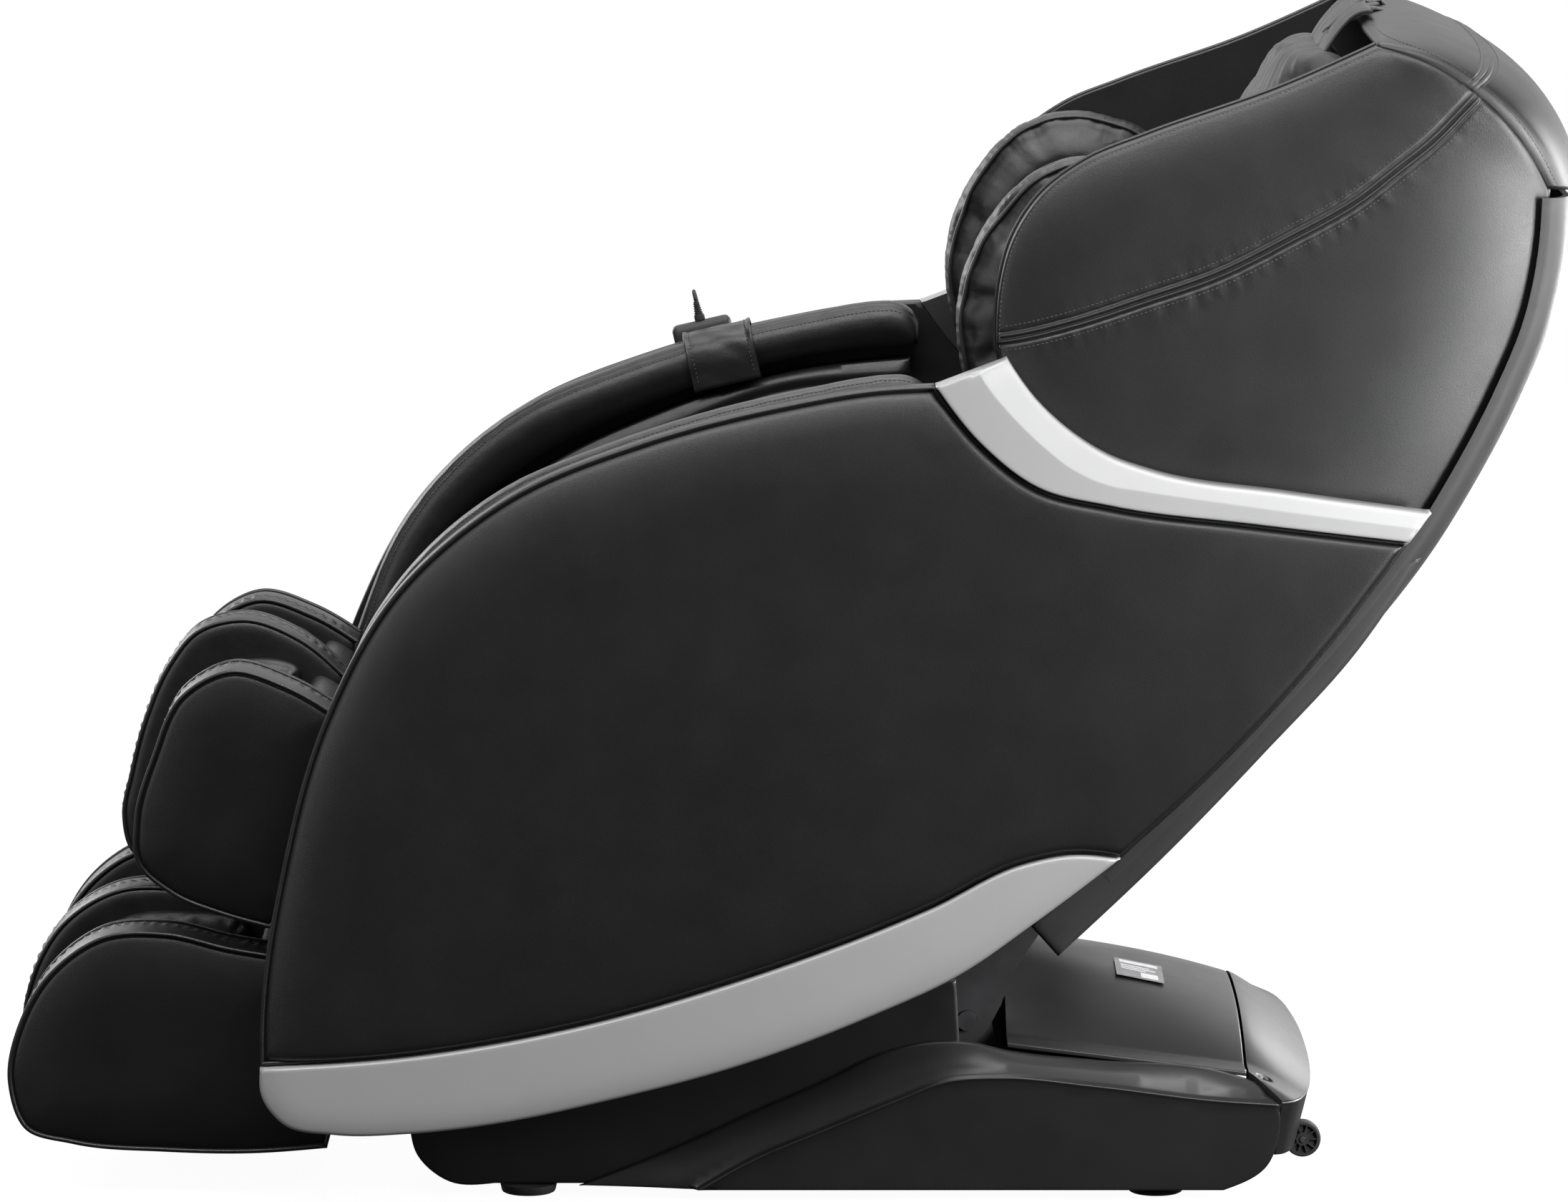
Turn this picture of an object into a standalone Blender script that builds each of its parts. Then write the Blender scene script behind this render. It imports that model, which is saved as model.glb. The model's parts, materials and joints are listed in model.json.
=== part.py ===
"""A zero-gravity massage chair, in metres.

+Z is up, the sitter faces -X, and the chair's left side is at -Y. The origin is on the floor,
under the middle of the chair.

The remote's pouch makes the chair wider on its right, so its mid-plane lies a little to the left.

Run it with: blender --background --python part.py
"""

import math

import bmesh
import bpy
from mathutils import Matrix, Vector

# ---------------------------------------------------------------- driving dimensions

# Places and distances in y are counted from the chair's own mid-plane, which stands at MIDDLE_Y.
BODY_HALF = 0.388        # outer face of the side panels
POUCH_OUTER = 0.4165     # outer face of the remote's pouch
PANEL_THICK = 0.036
TRIM_PROUD = 0.003       # how far the silver trims stand out past the panels
WING_OUTER = 0.344
WING_INNER = 0.300
LEG_HALF = 0.285         # outer face of the calf and foot walls
LEG_WALL = 0.082         # thickness of an outer calf or foot wall
CENTRE_WALL_HALF = 0.036
SEAT_HALF = 0.272
MIDDLE_Y = (BODY_HALF + TRIM_PROUD - POUCH_OUTER) / 2
BASE_HALF = 0.300
DECK_HALF = 0.2665       # rear deck between the side covers
HUMP_HALF = 0.226        # crowned part of the deck
HUMP_FRONT, HUMP_LENGTH, HUMP_RISE = 0.214, 0.240, 0.055
FOOT_Y = 0.250           # middle of a rubber foot
GAP = 0.0015             # seam between neighbouring covers
FOOT_HEIGHT = 0.0095     # rubber foot

# Joint axes, all parallel to Y, as (x, z).
TILT_AXIS = (0.175, 0.167)
HIP_AXIS = (0.200, 0.360)
KNEE_AXIS = (-0.430, 0.452)
BACK_LEAN = math.radians(31.5)      # the back's long axis, from the vertical
LEG_LEAN = math.radians(12.8)       # the leg rest's long axis, from the vertical
ARM_SLOPE = math.radians(13.0)      # the armrest's rise where the remote hangs

SWITCH_TILT = 7.0                   # degrees that the rocker leans at rest
WHEEL_RADIUS = 0.0185
WHEEL_PLACE = (0.514, 0.045)
WHEEL_Y = 0.205
CAP_FRONT, CAP_INNER, CAP_OUTER = 0.456, 0.2665, 0.2985
CAP_RIM, CAP_BOTTOM = 0.101, 0.046
CAP_TUCK = 0.80                     # the foot of its wall, as a share of the rim's reach
CAP_SLANT = math.radians(24.4)      # lean of the end cap's rear face, from the vertical
CAP_FACE = (0.519, 0.070)           # a place on that face

# Shared edges, as (x, z). A third value of 0 marks a sharp corner.
PANEL_FRONT = [(-0.528, 0.154, 0), (-0.527, 0.205), (-0.507, 0.341), (-0.463, 0.498), (-0.392, 0.626),
               (-0.287, 0.717), (-0.146, 0.777), (-0.007, 0.813), (0.082, 0.828), (0.137, 0.831, 0)]
PANEL_TRIM_EDGE = [(0.137, 0.831, 0), (0.182, 0.774), (0.238, 0.731), (0.309, 0.713), (0.449, 0.695),
                   (0.602, 0.677, 0)]
PANEL_REAR = [(0.602, 0.677, 0), (0.520, 0.567), (0.416, 0.451), (0.322, 0.363, 0)]
PANEL_LOW_EDGE = [(0.322, 0.363, 0), (0.275, 0.3675), (0.225, 0.358), (0.135, 0.314), (-0.040, 0.246),
                  (-0.218, 0.194), (-0.372, 0.166), (-0.528, 0.154, 0)]
LOWER_TRIM_KEEL = [(-0.528, 0.154, 0), (-0.527, 0.125), (-0.504, 0.095), (-0.455, 0.085), (-0.381, 0.086),
                   (-0.289, 0.097), (-0.186, 0.119), (-0.056, 0.154), (0.075, 0.204), (0.160, 0.244),
                   (0.240, 0.300), (0.322, 0.363, 0)]
UPPER_TRIM_CREST = [(0.602, 0.677, 0), (0.624, 0.706, 0), (0.484, 0.7255), (0.350, 0.747), (0.308, 0.762),
                    (0.270, 0.786), (0.237, 0.817), (0.208, 0.858, 0), (0.137, 0.831, 0)]
ARM_BAND = [(-0.503, 0.330, 0), (-0.484, 0.410), (-0.456, 0.500), (-0.418, 0.590), (-0.352, 0.673),
            (-0.289, 0.721), (-0.184, 0.7665), (-0.077, 0.801), (0.019, 0.823), (0.080, 0.834),
            (0.134, 0.836, 0), (0.134, 0.790, 0), (0.000, 0.775), (-0.150, 0.727), (-0.270, 0.668),
            (-0.360, 0.590), (-0.412, 0.500), (-0.440, 0.420), (-0.458, 0.330, 0)]
WING_FRONT = [(0.1955, 0.862, 0), (0.199, 0.926), (0.210, 0.968), (0.238, 1.013), (0.285, 1.049),
              (0.343, 1.073), (0.480, 1.122), (0.569, 1.162, 0)]
WING_HOOD_SEAM = [(0.569, 1.162, 0), (0.620, 1.146), (0.667, 1.117), (0.712, 1.070), (0.742, 1.018, 0)]
WING_REAR = [(0.742, 1.018, 0), (0.738, 0.960), (0.722, 0.890), (0.690, 0.812), (0.655, 0.742),
             (0.607, 0.668, 0)]
WING_HEM = [(0.607, 0.668, 0), (0.480, 0.690), (0.345, 0.710), (0.270, 0.748), (0.222, 0.800),
            (0.1955, 0.862, 0)]
SHELL_REAR = [(0.764, 1.010, 0), (0.761, 0.960), (0.746, 0.882), (0.716, 0.806), (0.672, 0.720),
              (0.636, 0.660), (0.560, 0.560), (0.470, 0.458), (0.372, 0.357), (0.330, 0.315, 0)]
CALF_OUTLINE = [(-0.452, 0.490, 0), (-0.503, 0.520), (-0.560, 0.536), (-0.609, 0.511), (-0.640, 0.447),
                (-0.658, 0.382), (-0.656, 0.340), (-0.620, 0.306), (-0.572, 0.286), (-0.522, 0.272, 0),
                (-0.497, 0.292, 0)]
CALF_CENTRE = [(-0.454, 0.490, 0), (-0.503, 0.531), (-0.560, 0.551), (-0.612, 0.537), (-0.640, 0.503),
               (-0.664, 0.450), (-0.681, 0.388), (-0.689, 0.345), (-0.679, 0.306), (-0.640, 0.288),
               (-0.580, 0.280), (-0.526, 0.2725, 0), (-0.499, 0.292, 0)]
FOOT_OUTLINE = [(-0.500, 0.246, 0), (-0.562, 0.256), (-0.627, 0.271), (-0.690, 0.267), (-0.741, 0.233),
                (-0.776, 0.176), (-0.787, 0.118), (-0.770, 0.072), (-0.722, 0.0595), (-0.630, 0.0535),
                (-0.540, 0.0515), (-0.466, 0.0545, 0), (-0.455, 0.090, 0)]

# ---------------------------------------------------------------- clean start

for stale in list(bpy.data.objects):
    bpy.data.objects.remove(stale, do_unlink=True)

chair = bpy.data.collections.new("massage_chair")
cutters = bpy.data.collections.new("cutters")
bpy.context.scene.collection.children.link(chair)
bpy.context.scene.collection.children.link(cutters)

# ---------------------------------------------------------------- materials

LOOKS = {
    # name: (colour, roughness, metallic)
    "black_leather": ((0.020, 0.020, 0.021), 0.42, 0.0),
    "pillow_leather": ((0.045, 0.045, 0.047), 0.55, 0.0),
    "silver_satin": ((0.52, 0.52, 0.53), 0.34, 0.55),
    "shell_plastic": ((0.030, 0.030, 0.031), 0.62, 0.0),
    "base_plastic": ((0.016, 0.016, 0.017), 0.30, 0.0),
    "dark_steel": ((0.060, 0.060, 0.065), 0.45, 0.8),
    "zinc_steel": ((0.50, 0.50, 0.52), 0.35, 0.9),
    "black_rubber": ((0.018, 0.018, 0.018), 0.85, 0.0),
    "display_glass": ((0.010, 0.012, 0.015), 0.08, 0.0),
    "label_foil": ((0.30, 0.30, 0.31), 0.45, 0.3),
}


def look(name):
    """The named material, made the first time it is asked for."""
    if name in bpy.data.materials:
        return bpy.data.materials[name]
    colour, roughness, metallic = LOOKS[name]
    material = bpy.data.materials.new(name)
    material.use_nodes = True
    shader = material.node_tree.nodes["Principled BSDF"]
    shader.inputs["Base Color"].default_value = (*colour, 1.0)
    shader.inputs["Roughness"].default_value = roughness
    shader.inputs["Metallic"].default_value = metallic
    material.diffuse_color = (*colour, 1.0)
    return material


# ---------------------------------------------------------------- building helpers

middle = bpy.data.objects.new("chair_middle", None)
chair.objects.link(middle)
middle.location.y = MIDDLE_Y


def pivot(name, axis, parent=None):
    """An empty on a joint's axis, which that joint's pieces hang from."""
    empty = bpy.data.objects.new(name, None)
    chair.objects.link(empty)
    empty.parent = parent or middle
    empty.location = Vector((axis[0], 0.0, axis[1])) - chair_place(empty.parent)
    return empty


def chair_place(item):
    """Where an unrotated empty stands, counted from the chair's middle."""
    place = Vector((0.0, 0.0, 0.0))
    while item != middle:
        place += item.location
        item = item.parent
    return place


def settle(obj, material, place, parent=None, turn=(0.0, 0.0, 0.0)):
    """Give the object its material, and set it at a place in the chair under its parent."""
    obj.data.materials.clear()
    obj.data.materials.append(look(material))
    obj.rotation_euler = turn
    obj.parent = parent or middle
    obj.location = Vector(place) - chair_place(obj.parent)
    return obj


def smooth(obj, angle=35.0):
    """Shade round faces smooth and keep edges sharper than the angle."""
    obj.data.shade_smooth()
    obj.data.set_sharp_from_angle(angle=math.radians(angle))


def mesh_object(name, bm):
    mesh = bpy.data.meshes.new(name)
    bm.to_mesh(mesh)
    bm.free()
    obj = bpy.data.objects.new(name, mesh)
    chair.objects.link(obj)
    return obj


def bevelled(obj, width, segments=1, angle=30.0):
    """Round the edges sharper than the angle."""
    bevel = obj.modifiers.new("edges", "BEVEL")
    bevel.width = width
    bevel.segments = segments
    bevel.limit_method = "ANGLE"
    bevel.angle_limit = math.radians(angle)
    return obj


def box(name, material, size, place, parent=None, edge=0.0, turn=(0.0, 0.0, 0.0)):
    """A box of the given size, centred on a place in the chair."""
    bm = bmesh.new()
    bmesh.ops.create_cube(bm, size=1.0, matrix=Matrix.Diagonal((*size, 1.0)))
    obj = settle(mesh_object(name, bm), material, place, parent, turn)
    return bevelled(obj, edge, 2) if edge else obj


def cross_cylinder(name, material, radius, y_low, y_high, axis, parent=None, sides=24, edge=0.0):
    """A cylinder along Y between two y values, on an (x, z) axis."""
    bm = bmesh.new()
    bmesh.ops.create_cone(bm, cap_ends=True, segments=sides, radius1=radius, radius2=radius,
                          depth=y_high - y_low, matrix=Matrix.Rotation(math.pi / 2, 4, "X"))
    place = (axis[0], (y_low + y_high) / 2, axis[1])
    obj = settle(mesh_object(name, bm), material, place, parent)
    if edge:
        bevelled(obj, edge, 2)
    smooth(obj)
    return obj


def outline_curve(name, outline, origin, thickness, rounding, inset, resolution):
    """A filled flat curve in the XZ plane, with smooth points and sharp corners."""
    curve = bpy.data.curves.new(name, "CURVE")
    curve.dimensions = "2D"
    curve.fill_mode = "BOTH"
    curve.resolution_u = resolution
    curve.render_resolution_u = 0
    curve.extrude = thickness / 2 - rounding
    curve.bevel_depth = rounding
    curve.bevel_resolution = 0
    curve.offset = -rounding - inset
    spline = curve.splines.new("BEZIER")
    spline.bezier_points.add(len(outline) - 1)
    for knot, point in zip(spline.bezier_points, outline):
        knot.co = (point[0] - origin[0], point[1] - origin[1], 0.0)
        kind = "VECTOR" if len(point) == 3 else "AUTO"
        knot.handle_left_type = kind
        knot.handle_right_type = kind
    spline.use_cyclic_u = True
    return curve


def plate(name, material, outline, y_low, y_high, parent=None, rounding=0.0, inset=0.0, resolution=3,
          as_mesh=False):
    """A plate of an (x, z) outline between two y values."""
    origin = chair_place(parent or middle)
    curve = outline_curve(name, outline, (origin.x, origin.z), y_high - y_low, rounding, inset, resolution)
    obj = bpy.data.objects.new(name, curve)
    chair.objects.link(obj)
    place = (origin.x, (y_low + y_high) / 2, origin.z)
    settle(obj, material, place, parent, (math.pi / 2, 0.0, 0.0))
    return curve_to_mesh(obj) if as_mesh else obj


def curve_to_mesh(obj):
    """The same object as a welded mesh, for modifiers."""
    bpy.context.view_layer.update()
    mesh = bpy.data.meshes.new_from_object(obj.evaluated_get(bpy.context.evaluated_depsgraph_get()))
    bm = bmesh.new()
    bm.from_mesh(mesh)
    bmesh.ops.remove_doubles(bm, verts=bm.verts, dist=0.00002)
    bm.to_mesh(mesh)
    bm.free()
    name, parent, place, turn = obj.name, obj.parent, obj.location.copy(), obj.rotation_euler.copy()
    curve = obj.data
    bpy.data.objects.remove(obj, do_unlink=True)
    bpy.data.curves.remove(curve)
    welded = bpy.data.objects.new(name, mesh)
    chair.objects.link(welded)
    welded.parent = parent
    welded.location = place
    welded.rotation_euler = turn
    return welded


def combine(target, others, operation="UNION"):
    """Boolean other objects into the target; they become hidden cutters."""
    for other in others:
        step = target.modifiers.new(operation.lower(), "BOOLEAN")
        step.operation = operation
        step.object = other
        for home in list(other.users_collection):
            home.objects.unlink(other)
        cutters.objects.link(other)
        other.hide_render = True
        other.display_type = "WIRE"
    return target


def tube(name, material, points, radius, parent=None, around=2):
    """A round bar through places in the chair."""
    curve = bpy.data.curves.new(name, "CURVE")
    curve.dimensions = "3D"
    curve.bevel_depth = radius
    curve.bevel_resolution = around
    curve.use_fill_caps = True
    curve.resolution_u = 4
    curve.render_resolution_u = 0
    origin = chair_place(parent or middle)
    spline = curve.splines.new("POLY")
    spline.points.add(len(points) - 1)
    for knot, point in zip(spline.points, points):
        knot.co = (*(Vector(point) - origin), 1.0)
    obj = bpy.data.objects.new(name, curve)
    chair.objects.link(obj)
    return settle(obj, material, origin, parent)


def smooth_route(points, step):
    """Even points along a Catmull-Rom curve through the route's own points."""
    knots = [Vector(p) for p in points]
    knots = [2 * knots[0] - knots[1], *knots, 2 * knots[-1] - knots[-2]]
    fine = []
    for a, b, c, d in zip(knots, knots[1:], knots[2:], knots[3:]):
        count = max(2, round((c - b).length / step))
        for i in range(count):
            t = i / count
            fine.append(0.5 * (2 * b + (c - a) * t + (2 * a - 5 * b + 4 * c - d) * t * t
                               + (3 * b - a - 3 * c + d) * t * t * t))
    return fine + [knots[-2]]


def mirrored_pair(make, stem):
    """Make the left piece at -Y and the right one at +Y."""
    return [make(f"{stem}_left", -1.0), make(f"{stem}_right", 1.0)]


def span(side, inner, outer):
    """The y range between two distances from the middle, on one side."""
    return (inner, outer) if side > 0 else (-outer, -inner)


# ---------------------------------------------------------------- base

PAN_TOP = 0.026
COVER_BOTTOM = FOOT_HEIGHT + 0.001


def base_pan():
    """Rounded floor pan that the base pieces stand on."""
    corner = 0.05
    front, rear = -0.296, 0.436
    half = 0.255
    outline = []
    for cx, cy, start in ((rear - corner, half - corner, 0), (front + corner, half - corner, 90),
                          (front + corner, corner - half, 180), (rear - corner, corner - half, 270)):
        for k in range(4):
            a = math.radians(start + 30 * k)
            outline.append((cx + corner * math.cos(a), cy + corner * math.sin(a), 0))
    curve = outline_curve("base_pan", outline, (0.0, 0.0), PAN_TOP - FOOT_HEIGHT, 0.0, 0.0, 1)
    obj = bpy.data.objects.new("base_pan", curve)
    chair.objects.link(obj)
    return settle(obj, "dark_steel", (0.0, 0.0, (PAN_TOP + FOOT_HEIGHT) / 2))


def base_front_box():
    """Front housing: a front wall and two side walls, open below and above."""
    side = [(-0.386, 0.150, 0), (-0.386, 0.075), (-0.378, 0.040), (-0.345, 0.0120),
            (-0.300, COVER_BOTTOM, 0),
            (0.060, COVER_BOTTOM, 0), (0.168, 0.150, 0), (0.1635, 0.222, 0), (0.020, 0.168, 0),
            (-0.200, 0.130, 0), (-0.330, 0.112, 0), (-0.350, 0.112, 0)]
    walls = [plate(f"front_box_side_{tag}", "base_plastic", side, *span(s, 0.262, 0.2665), as_mesh=True)
             for tag, s in (("left", -1.0), ("right", 1.0))]
    front = [(-0.386, 0.150, 0), (-0.386, 0.075), (-0.378, 0.040), (-0.345, 0.0120),
             (-0.300, COVER_BOTTOM, 0),
             (-0.300, COVER_BOTTOM + 0.005, 0), (-0.340, 0.0180), (-0.370, 0.045), (-0.380, 0.078),
             (-0.380, 0.150, 0)]
    wall = plate("base_front_box", "base_plastic", front, -0.264, 0.264, as_mesh=True)
    return combine(wall, walls)


def base_side_cover(name, side):
    """Side cover: a tall inner board under a lower outer board, with a sloped ridge between.

    Its rear end is mitred to meet the end cap.
    """
    inner = [(-0.215, COVER_BOTTOM, 0), (-0.113, 0.052), (-0.042, 0.085), (0.030, 0.117), (0.098, 0.149),
             (0.137, 0.1575), (0.173, 0.1575), (0.212, 0.149), (0.300, 0.139), (0.424, 0.128, 0),
             (0.482, 0.110, 0), (0.4865, 0.099, 0), (0.486, 0.070), (0.474, 0.036), (0.430, COVER_BOTTOM, 0)]
    outer = [(-0.095, COVER_BOTTOM, 0), (-0.042, 0.041), (0.030, 0.072), (0.104, 0.103), (0.150, 0.121),
             (0.208, 0.1255), (0.300, 0.117), (0.424, 0.102), (0.4865, 0.098, 0), (0.486, 0.070),
             (0.474, 0.036), (0.430, COVER_BOTTOM, 0)]
    board = plate(name, "base_plastic", inner, *span(side, 0.268, 0.284), as_mesh=True)
    skirt = plate(f"{name}_skirt", "base_plastic", outer, *span(side, 0.280, BASE_HALF), as_mesh=True)
    combine(board, [skirt])
    reach = 0.1
    mitre = box(f"{name}_mitre", "base_plastic", (2 * reach, 4 * reach, 4 * reach),
                (CAP_FRONT - GAP + reach * math.sqrt(2), side * CAP_INNER, 0.1),
                turn=(0.0, 0.0, side * math.radians(-45.0)))
    return combine(board, [mitre], "DIFFERENCE")


def hump_height(x, y):
    """Top of the hump cover at a place."""
    along = (x - HUMP_FRONT) / HUMP_LENGTH
    crown = HUMP_RISE * max(0.0, 1.0 - (abs(y) / HUMP_HALF) ** 2.6)
    return 0.155 - 0.030 * along + crown * (1.0 - 0.35 * along ** 3)


def base_hump_cover():
    """Crowned cover over the rear of the base, with a flat brim along each side."""
    bm = bmesh.new()
    bmesh.ops.create_grid(bm, x_segments=8, y_segments=18, size=0.5)
    for v in bm.verts:
        v.co.x = HUMP_FRONT + HUMP_LENGTH * (v.co.x + 0.5)
        v.co.y *= 2.0 * DECK_HALF
        v.co.z = hump_height(v.co.x, v.co.y)
    obj = settle(mesh_object("base_hump_cover", bm), "base_plastic", (0.0, 0.0, 0.0))
    shell = obj.modifiers.new("wall", "SOLIDIFY")
    shell.thickness = 0.0045
    shell.offset = -1.0
    smooth(obj)
    return obj


def cap_box(name, material, size, y, depth):
    """A box on the end cap's slanted rear face, its outer side at a depth below the face."""
    sink = depth + size[0] / 2
    place = (CAP_FACE[0] - sink * math.cos(CAP_SLANT), y, CAP_FACE[1] + sink * math.sin(CAP_SLANT))
    return box(name, material, size, place, turn=(0.0, CAP_SLANT, 0.0))


def cap_plan():
    """Front edge and rear rim of the end cap as pairs of (x, y), from its left to its right."""
    rim = [(CAP_FRONT + CAP_OUTER - CAP_INNER, -CAP_OUTER), (0.4955, -0.2955), (0.5040, -0.2850),
           (0.5115, -0.2640), (0.5185, -0.2250), (0.5240, -0.1650), (0.5280, -0.0850), (0.5290, 0.0)]
    rim += [(x, -y) for x, y in reversed(rim[:-1])]
    return [((CAP_FRONT, y * CAP_INNER / CAP_OUTER), (x, y)) for x, y in rim]


def base_end_cap():
    """Rounded rear end of the base: a dome that falls from the hump to a rim, hollowed from below."""
    shares = (0.0, 0.25, 0.5, 0.7, 0.85, 0.95, 1.0)
    bm = bmesh.new()
    top, floor = [], []
    for (fx, fy), (rx, ry) in cap_plan():
        high = hump_height(HUMP_FRONT + HUMP_LENGTH, fy) - 0.001
        column, under = [], []
        for t in shares:
            x, y = fx + (rx - fx) * t, fy + (ry - fy) * t
            column.append(bm.verts.new((x, y, CAP_RIM + (high - CAP_RIM) * (1.0 - t ** 1.1))))
            low = t * CAP_TUCK
            under.append(bm.verts.new((fx + (rx - fx) * low, fy + (ry - fy) * low, CAP_BOTTOM)))
        top.append(column)
        floor.append(under)
    last = len(shares) - 1
    for k in range(len(top) - 1):
        for j in range(last):
            bm.faces.new((top[k][j], top[k][j + 1], top[k + 1][j + 1], top[k + 1][j]))
            bm.faces.new((floor[k][j], floor[k + 1][j], floor[k + 1][j + 1], floor[k][j + 1]))
        bm.faces.new((top[k][0], top[k + 1][0], floor[k + 1][0], floor[k][0]))
        bm.faces.new((top[k][last], floor[k][last], floor[k + 1][last], top[k + 1][last]))
    for k in (0, len(top) - 1):
        for j in range(last):
            bm.faces.new((top[k][j], floor[k][j], floor[k][j + 1], top[k][j + 1]))
    bmesh.ops.recalc_face_normals(bm, faces=bm.faces)
    obj = settle(mesh_object("base_end_cap", bm), "base_plastic", (0.0, 0.0, 0.0))
    smooth(obj)
    core = box("end_cap_core", "base_plastic", (0.070, 0.440, 0.096), (0.446, 0.0, 0.0715))
    undercut = cap_box("end_cap_undercut", "base_plastic", (0.080, 0.700, 0.160), 0.0, -0.080)
    notches = [box(f"wheel_notch_{s:+.0f}", "base_plastic", (0.120, 0.040, 0.074),
                   (0.540, s * WHEEL_Y, 0.036)) for s in (-1.0, 1.0)]
    inlet_hole = cap_box("inlet_hole", "base_plastic", (0.060, 0.0508, 0.0308), 0.060, -0.033)
    switch_hole = cap_box("switch_hole", "base_plastic", (0.060, 0.0150, 0.0270), 0.005, -0.033)
    return combine(obj, [core, undercut, *notches, inlet_hole, switch_hole], "DIFFERENCE")


def rating_plate():
    """Blank foil plate on the left flank of the hump, tangent to it."""
    x, y = 0.355, -0.055
    reach = 0.01
    along = math.atan2(hump_height(x - reach, y) - hump_height(x + reach, y), 2 * reach)
    across = math.atan2(hump_height(x, y + reach) - hump_height(x, y - reach), 2 * reach)
    return box("rating_plate", "label_foil", (0.052, 0.072, 0.0008), (x, y, hump_height(x, y) + 0.0011),
               turn=(across, along, 0.0))


def rubber_foot(name, x, y):
    bm = bmesh.new()
    height = FOOT_HEIGHT - 0.0005
    bmesh.ops.create_cone(bm, cap_ends=True, segments=20, radius1=0.026, radius2=0.029, depth=height)
    obj = settle(mesh_object(name, bm), "black_rubber", (x, y, height / 2))
    smooth(obj)
    return obj


def tilt_bracket():
    """Two upright steel plates on a cross strap, with the tilt pin welded through them."""
    x, z = TILT_AXIS
    strap = box("tilt_bracket", "dark_steel", (0.110, 0.400, 0.006), (x, 0.0, PAN_TOP + 0.0035))
    ears = []
    for side in (-1.0, 1.0):
        shape = [(x - 0.055, PAN_TOP + 0.002, 0), (x + 0.055, PAN_TOP + 0.002, 0), (x + 0.024, z, 0),
                 (x, z + 0.024), (x - 0.024, z, 0)]
        ears.append(plate(f"tilt_ear_{side:+.0f}", "dark_steel", shape, *span(side, 0.192, 0.199),
                          as_mesh=True))
    pin = cross_cylinder("tilt_pin", "dark_steel", 0.0100, -0.216, 0.216, TILT_AXIS)
    return combine(strap, [*ears, pin])


def control_box():
    return box("control_box", "dark_steel", (0.200, 0.300, 0.070), (-0.200, 0.0, PAN_TOP + 0.0355),
               edge=0.003)


def power_inlet():
    """Mains inlet block let into the end cap's rear face, with a socket mouth."""
    block = cap_box("power_inlet", "base_plastic", (0.026, 0.050, 0.030), 0.060, -0.0005)
    mouth = cap_box("inlet_mouth", "base_plastic", (0.030, 0.026, 0.018), 0.060, -0.012)
    return combine(block, [mouth], "DIFFERENCE")


def power_switch():
    """Rocker of the mains switch, tilted to its off side."""
    rocker = cap_box("power_switch", "black_rubber", (0.012, 0.014, 0.022), 0.005, -0.0015)
    rocker.rotation_euler.y -= math.radians(SWITCH_TILT)
    return rocker


def wheel_set(side_name, side):
    """Transport wheel between a bracket's cheeks, turning on a steel axle."""
    y = side * WHEEL_Y
    x, z = WHEEL_PLACE
    wheel = cross_cylinder(f"transport_wheel_{side_name}", "black_rubber", WHEEL_RADIUS,
                           y - 0.008, y + 0.008, WHEEL_PLACE, sides=28, edge=0.002)
    hub = cross_cylinder(f"hub_bore_{side_name}", "dark_steel", 0.0034, y - 0.02, y + 0.02,
                         WHEEL_PLACE, sides=16)
    combine(wheel, [hub], "DIFFERENCE")
    inner = y - side * 0.0125
    arm = [(x - 0.052, z - 0.012, 0), (x + 0.004, z - 0.0075, 0), (x + 0.0075, z),
           (x + 0.004, z + 0.0075, 0), (x - 0.052, z + 0.012, 0)]
    bracket = plate(f"wheel_bracket_{side_name}", "dark_steel", arm, inner - 0.002, inner + 0.002,
                    as_mesh=True)
    lo, hi = sorted((inner - side * 0.001, y + side * 0.0095))
    axle = cross_cylinder(f"wheel_axle_{side_name}", "zinc_steel", 0.003, lo, hi, WHEEL_PLACE, sides=16)
    return combine(bracket, [axle])


base_pan()
base_front_box()
mirrored_pair(base_side_cover, "base_side_cover")
base_hump_cover()
base_end_cap()
rating_plate()
for end, foot_x in (("front", -0.266), ("rear", 0.364)):
    for tag, s in (("left", -1.0), ("right", 1.0)):
        rubber_foot(f"rubber_foot_{end}_{tag}", foot_x, s * FOOT_Y)
tilt_bracket()
control_box()
power_inlet()
power_switch()
for tag, s in (("left", -1.0), ("right", 1.0)):
    wheel_set(tag, s)


# ---------------------------------------------------------------- body on the tilt axis

tilt = pivot("tilt_axis", TILT_AXIS)
hip = pivot("hip_axis", HIP_AXIS, tilt)
knee = pivot("knee_axis", KNEE_AXIS, tilt)

PLATE_INNER, PLATE_OUTER = 0.290, 0.297
EAR_INNER, EAR_OUTER = 0.2805, 0.2865
PAN_SLOPE = math.radians(8.5)


def chassis_plate(name, side):
    """Steel side plate from the knee axis to the hip axis, with a stub pin on each."""
    shape = [(-0.452, 0.472, 0), (-0.405, 0.472), (-0.330, 0.448), (0.100, 0.388), (0.205, 0.388),
             (0.230, 0.360), (0.205, 0.331), (0.110, 0.318), (-0.120, 0.345), (-0.330, 0.395),
             (-0.400, 0.425), (-0.452, 0.430, 0)]
    board = plate(name, "dark_steel", shape, *span(side, PLATE_INNER, PLATE_OUTER), tilt, as_mesh=True)
    pins = [cross_cylinder(f"{name}_{end}_pin", "dark_steel", radius, *span(side, 0.2775, 0.2945), axis,
                           tilt, 20)
            for end, radius, axis in (("knee", 0.008, KNEE_AXIS), ("hip", 0.010, HIP_AXIS))]
    return combine(board, pins)


def seat_pan():
    """Sheet-steel pan between the side plates, under the cushion."""
    return box("seat_pan", "dark_steel", (0.440, 0.577, 0.008), (-0.135, 0.0, 0.3775), tilt,
               turn=(0.0, PAN_SLOPE, 0.0))


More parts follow.
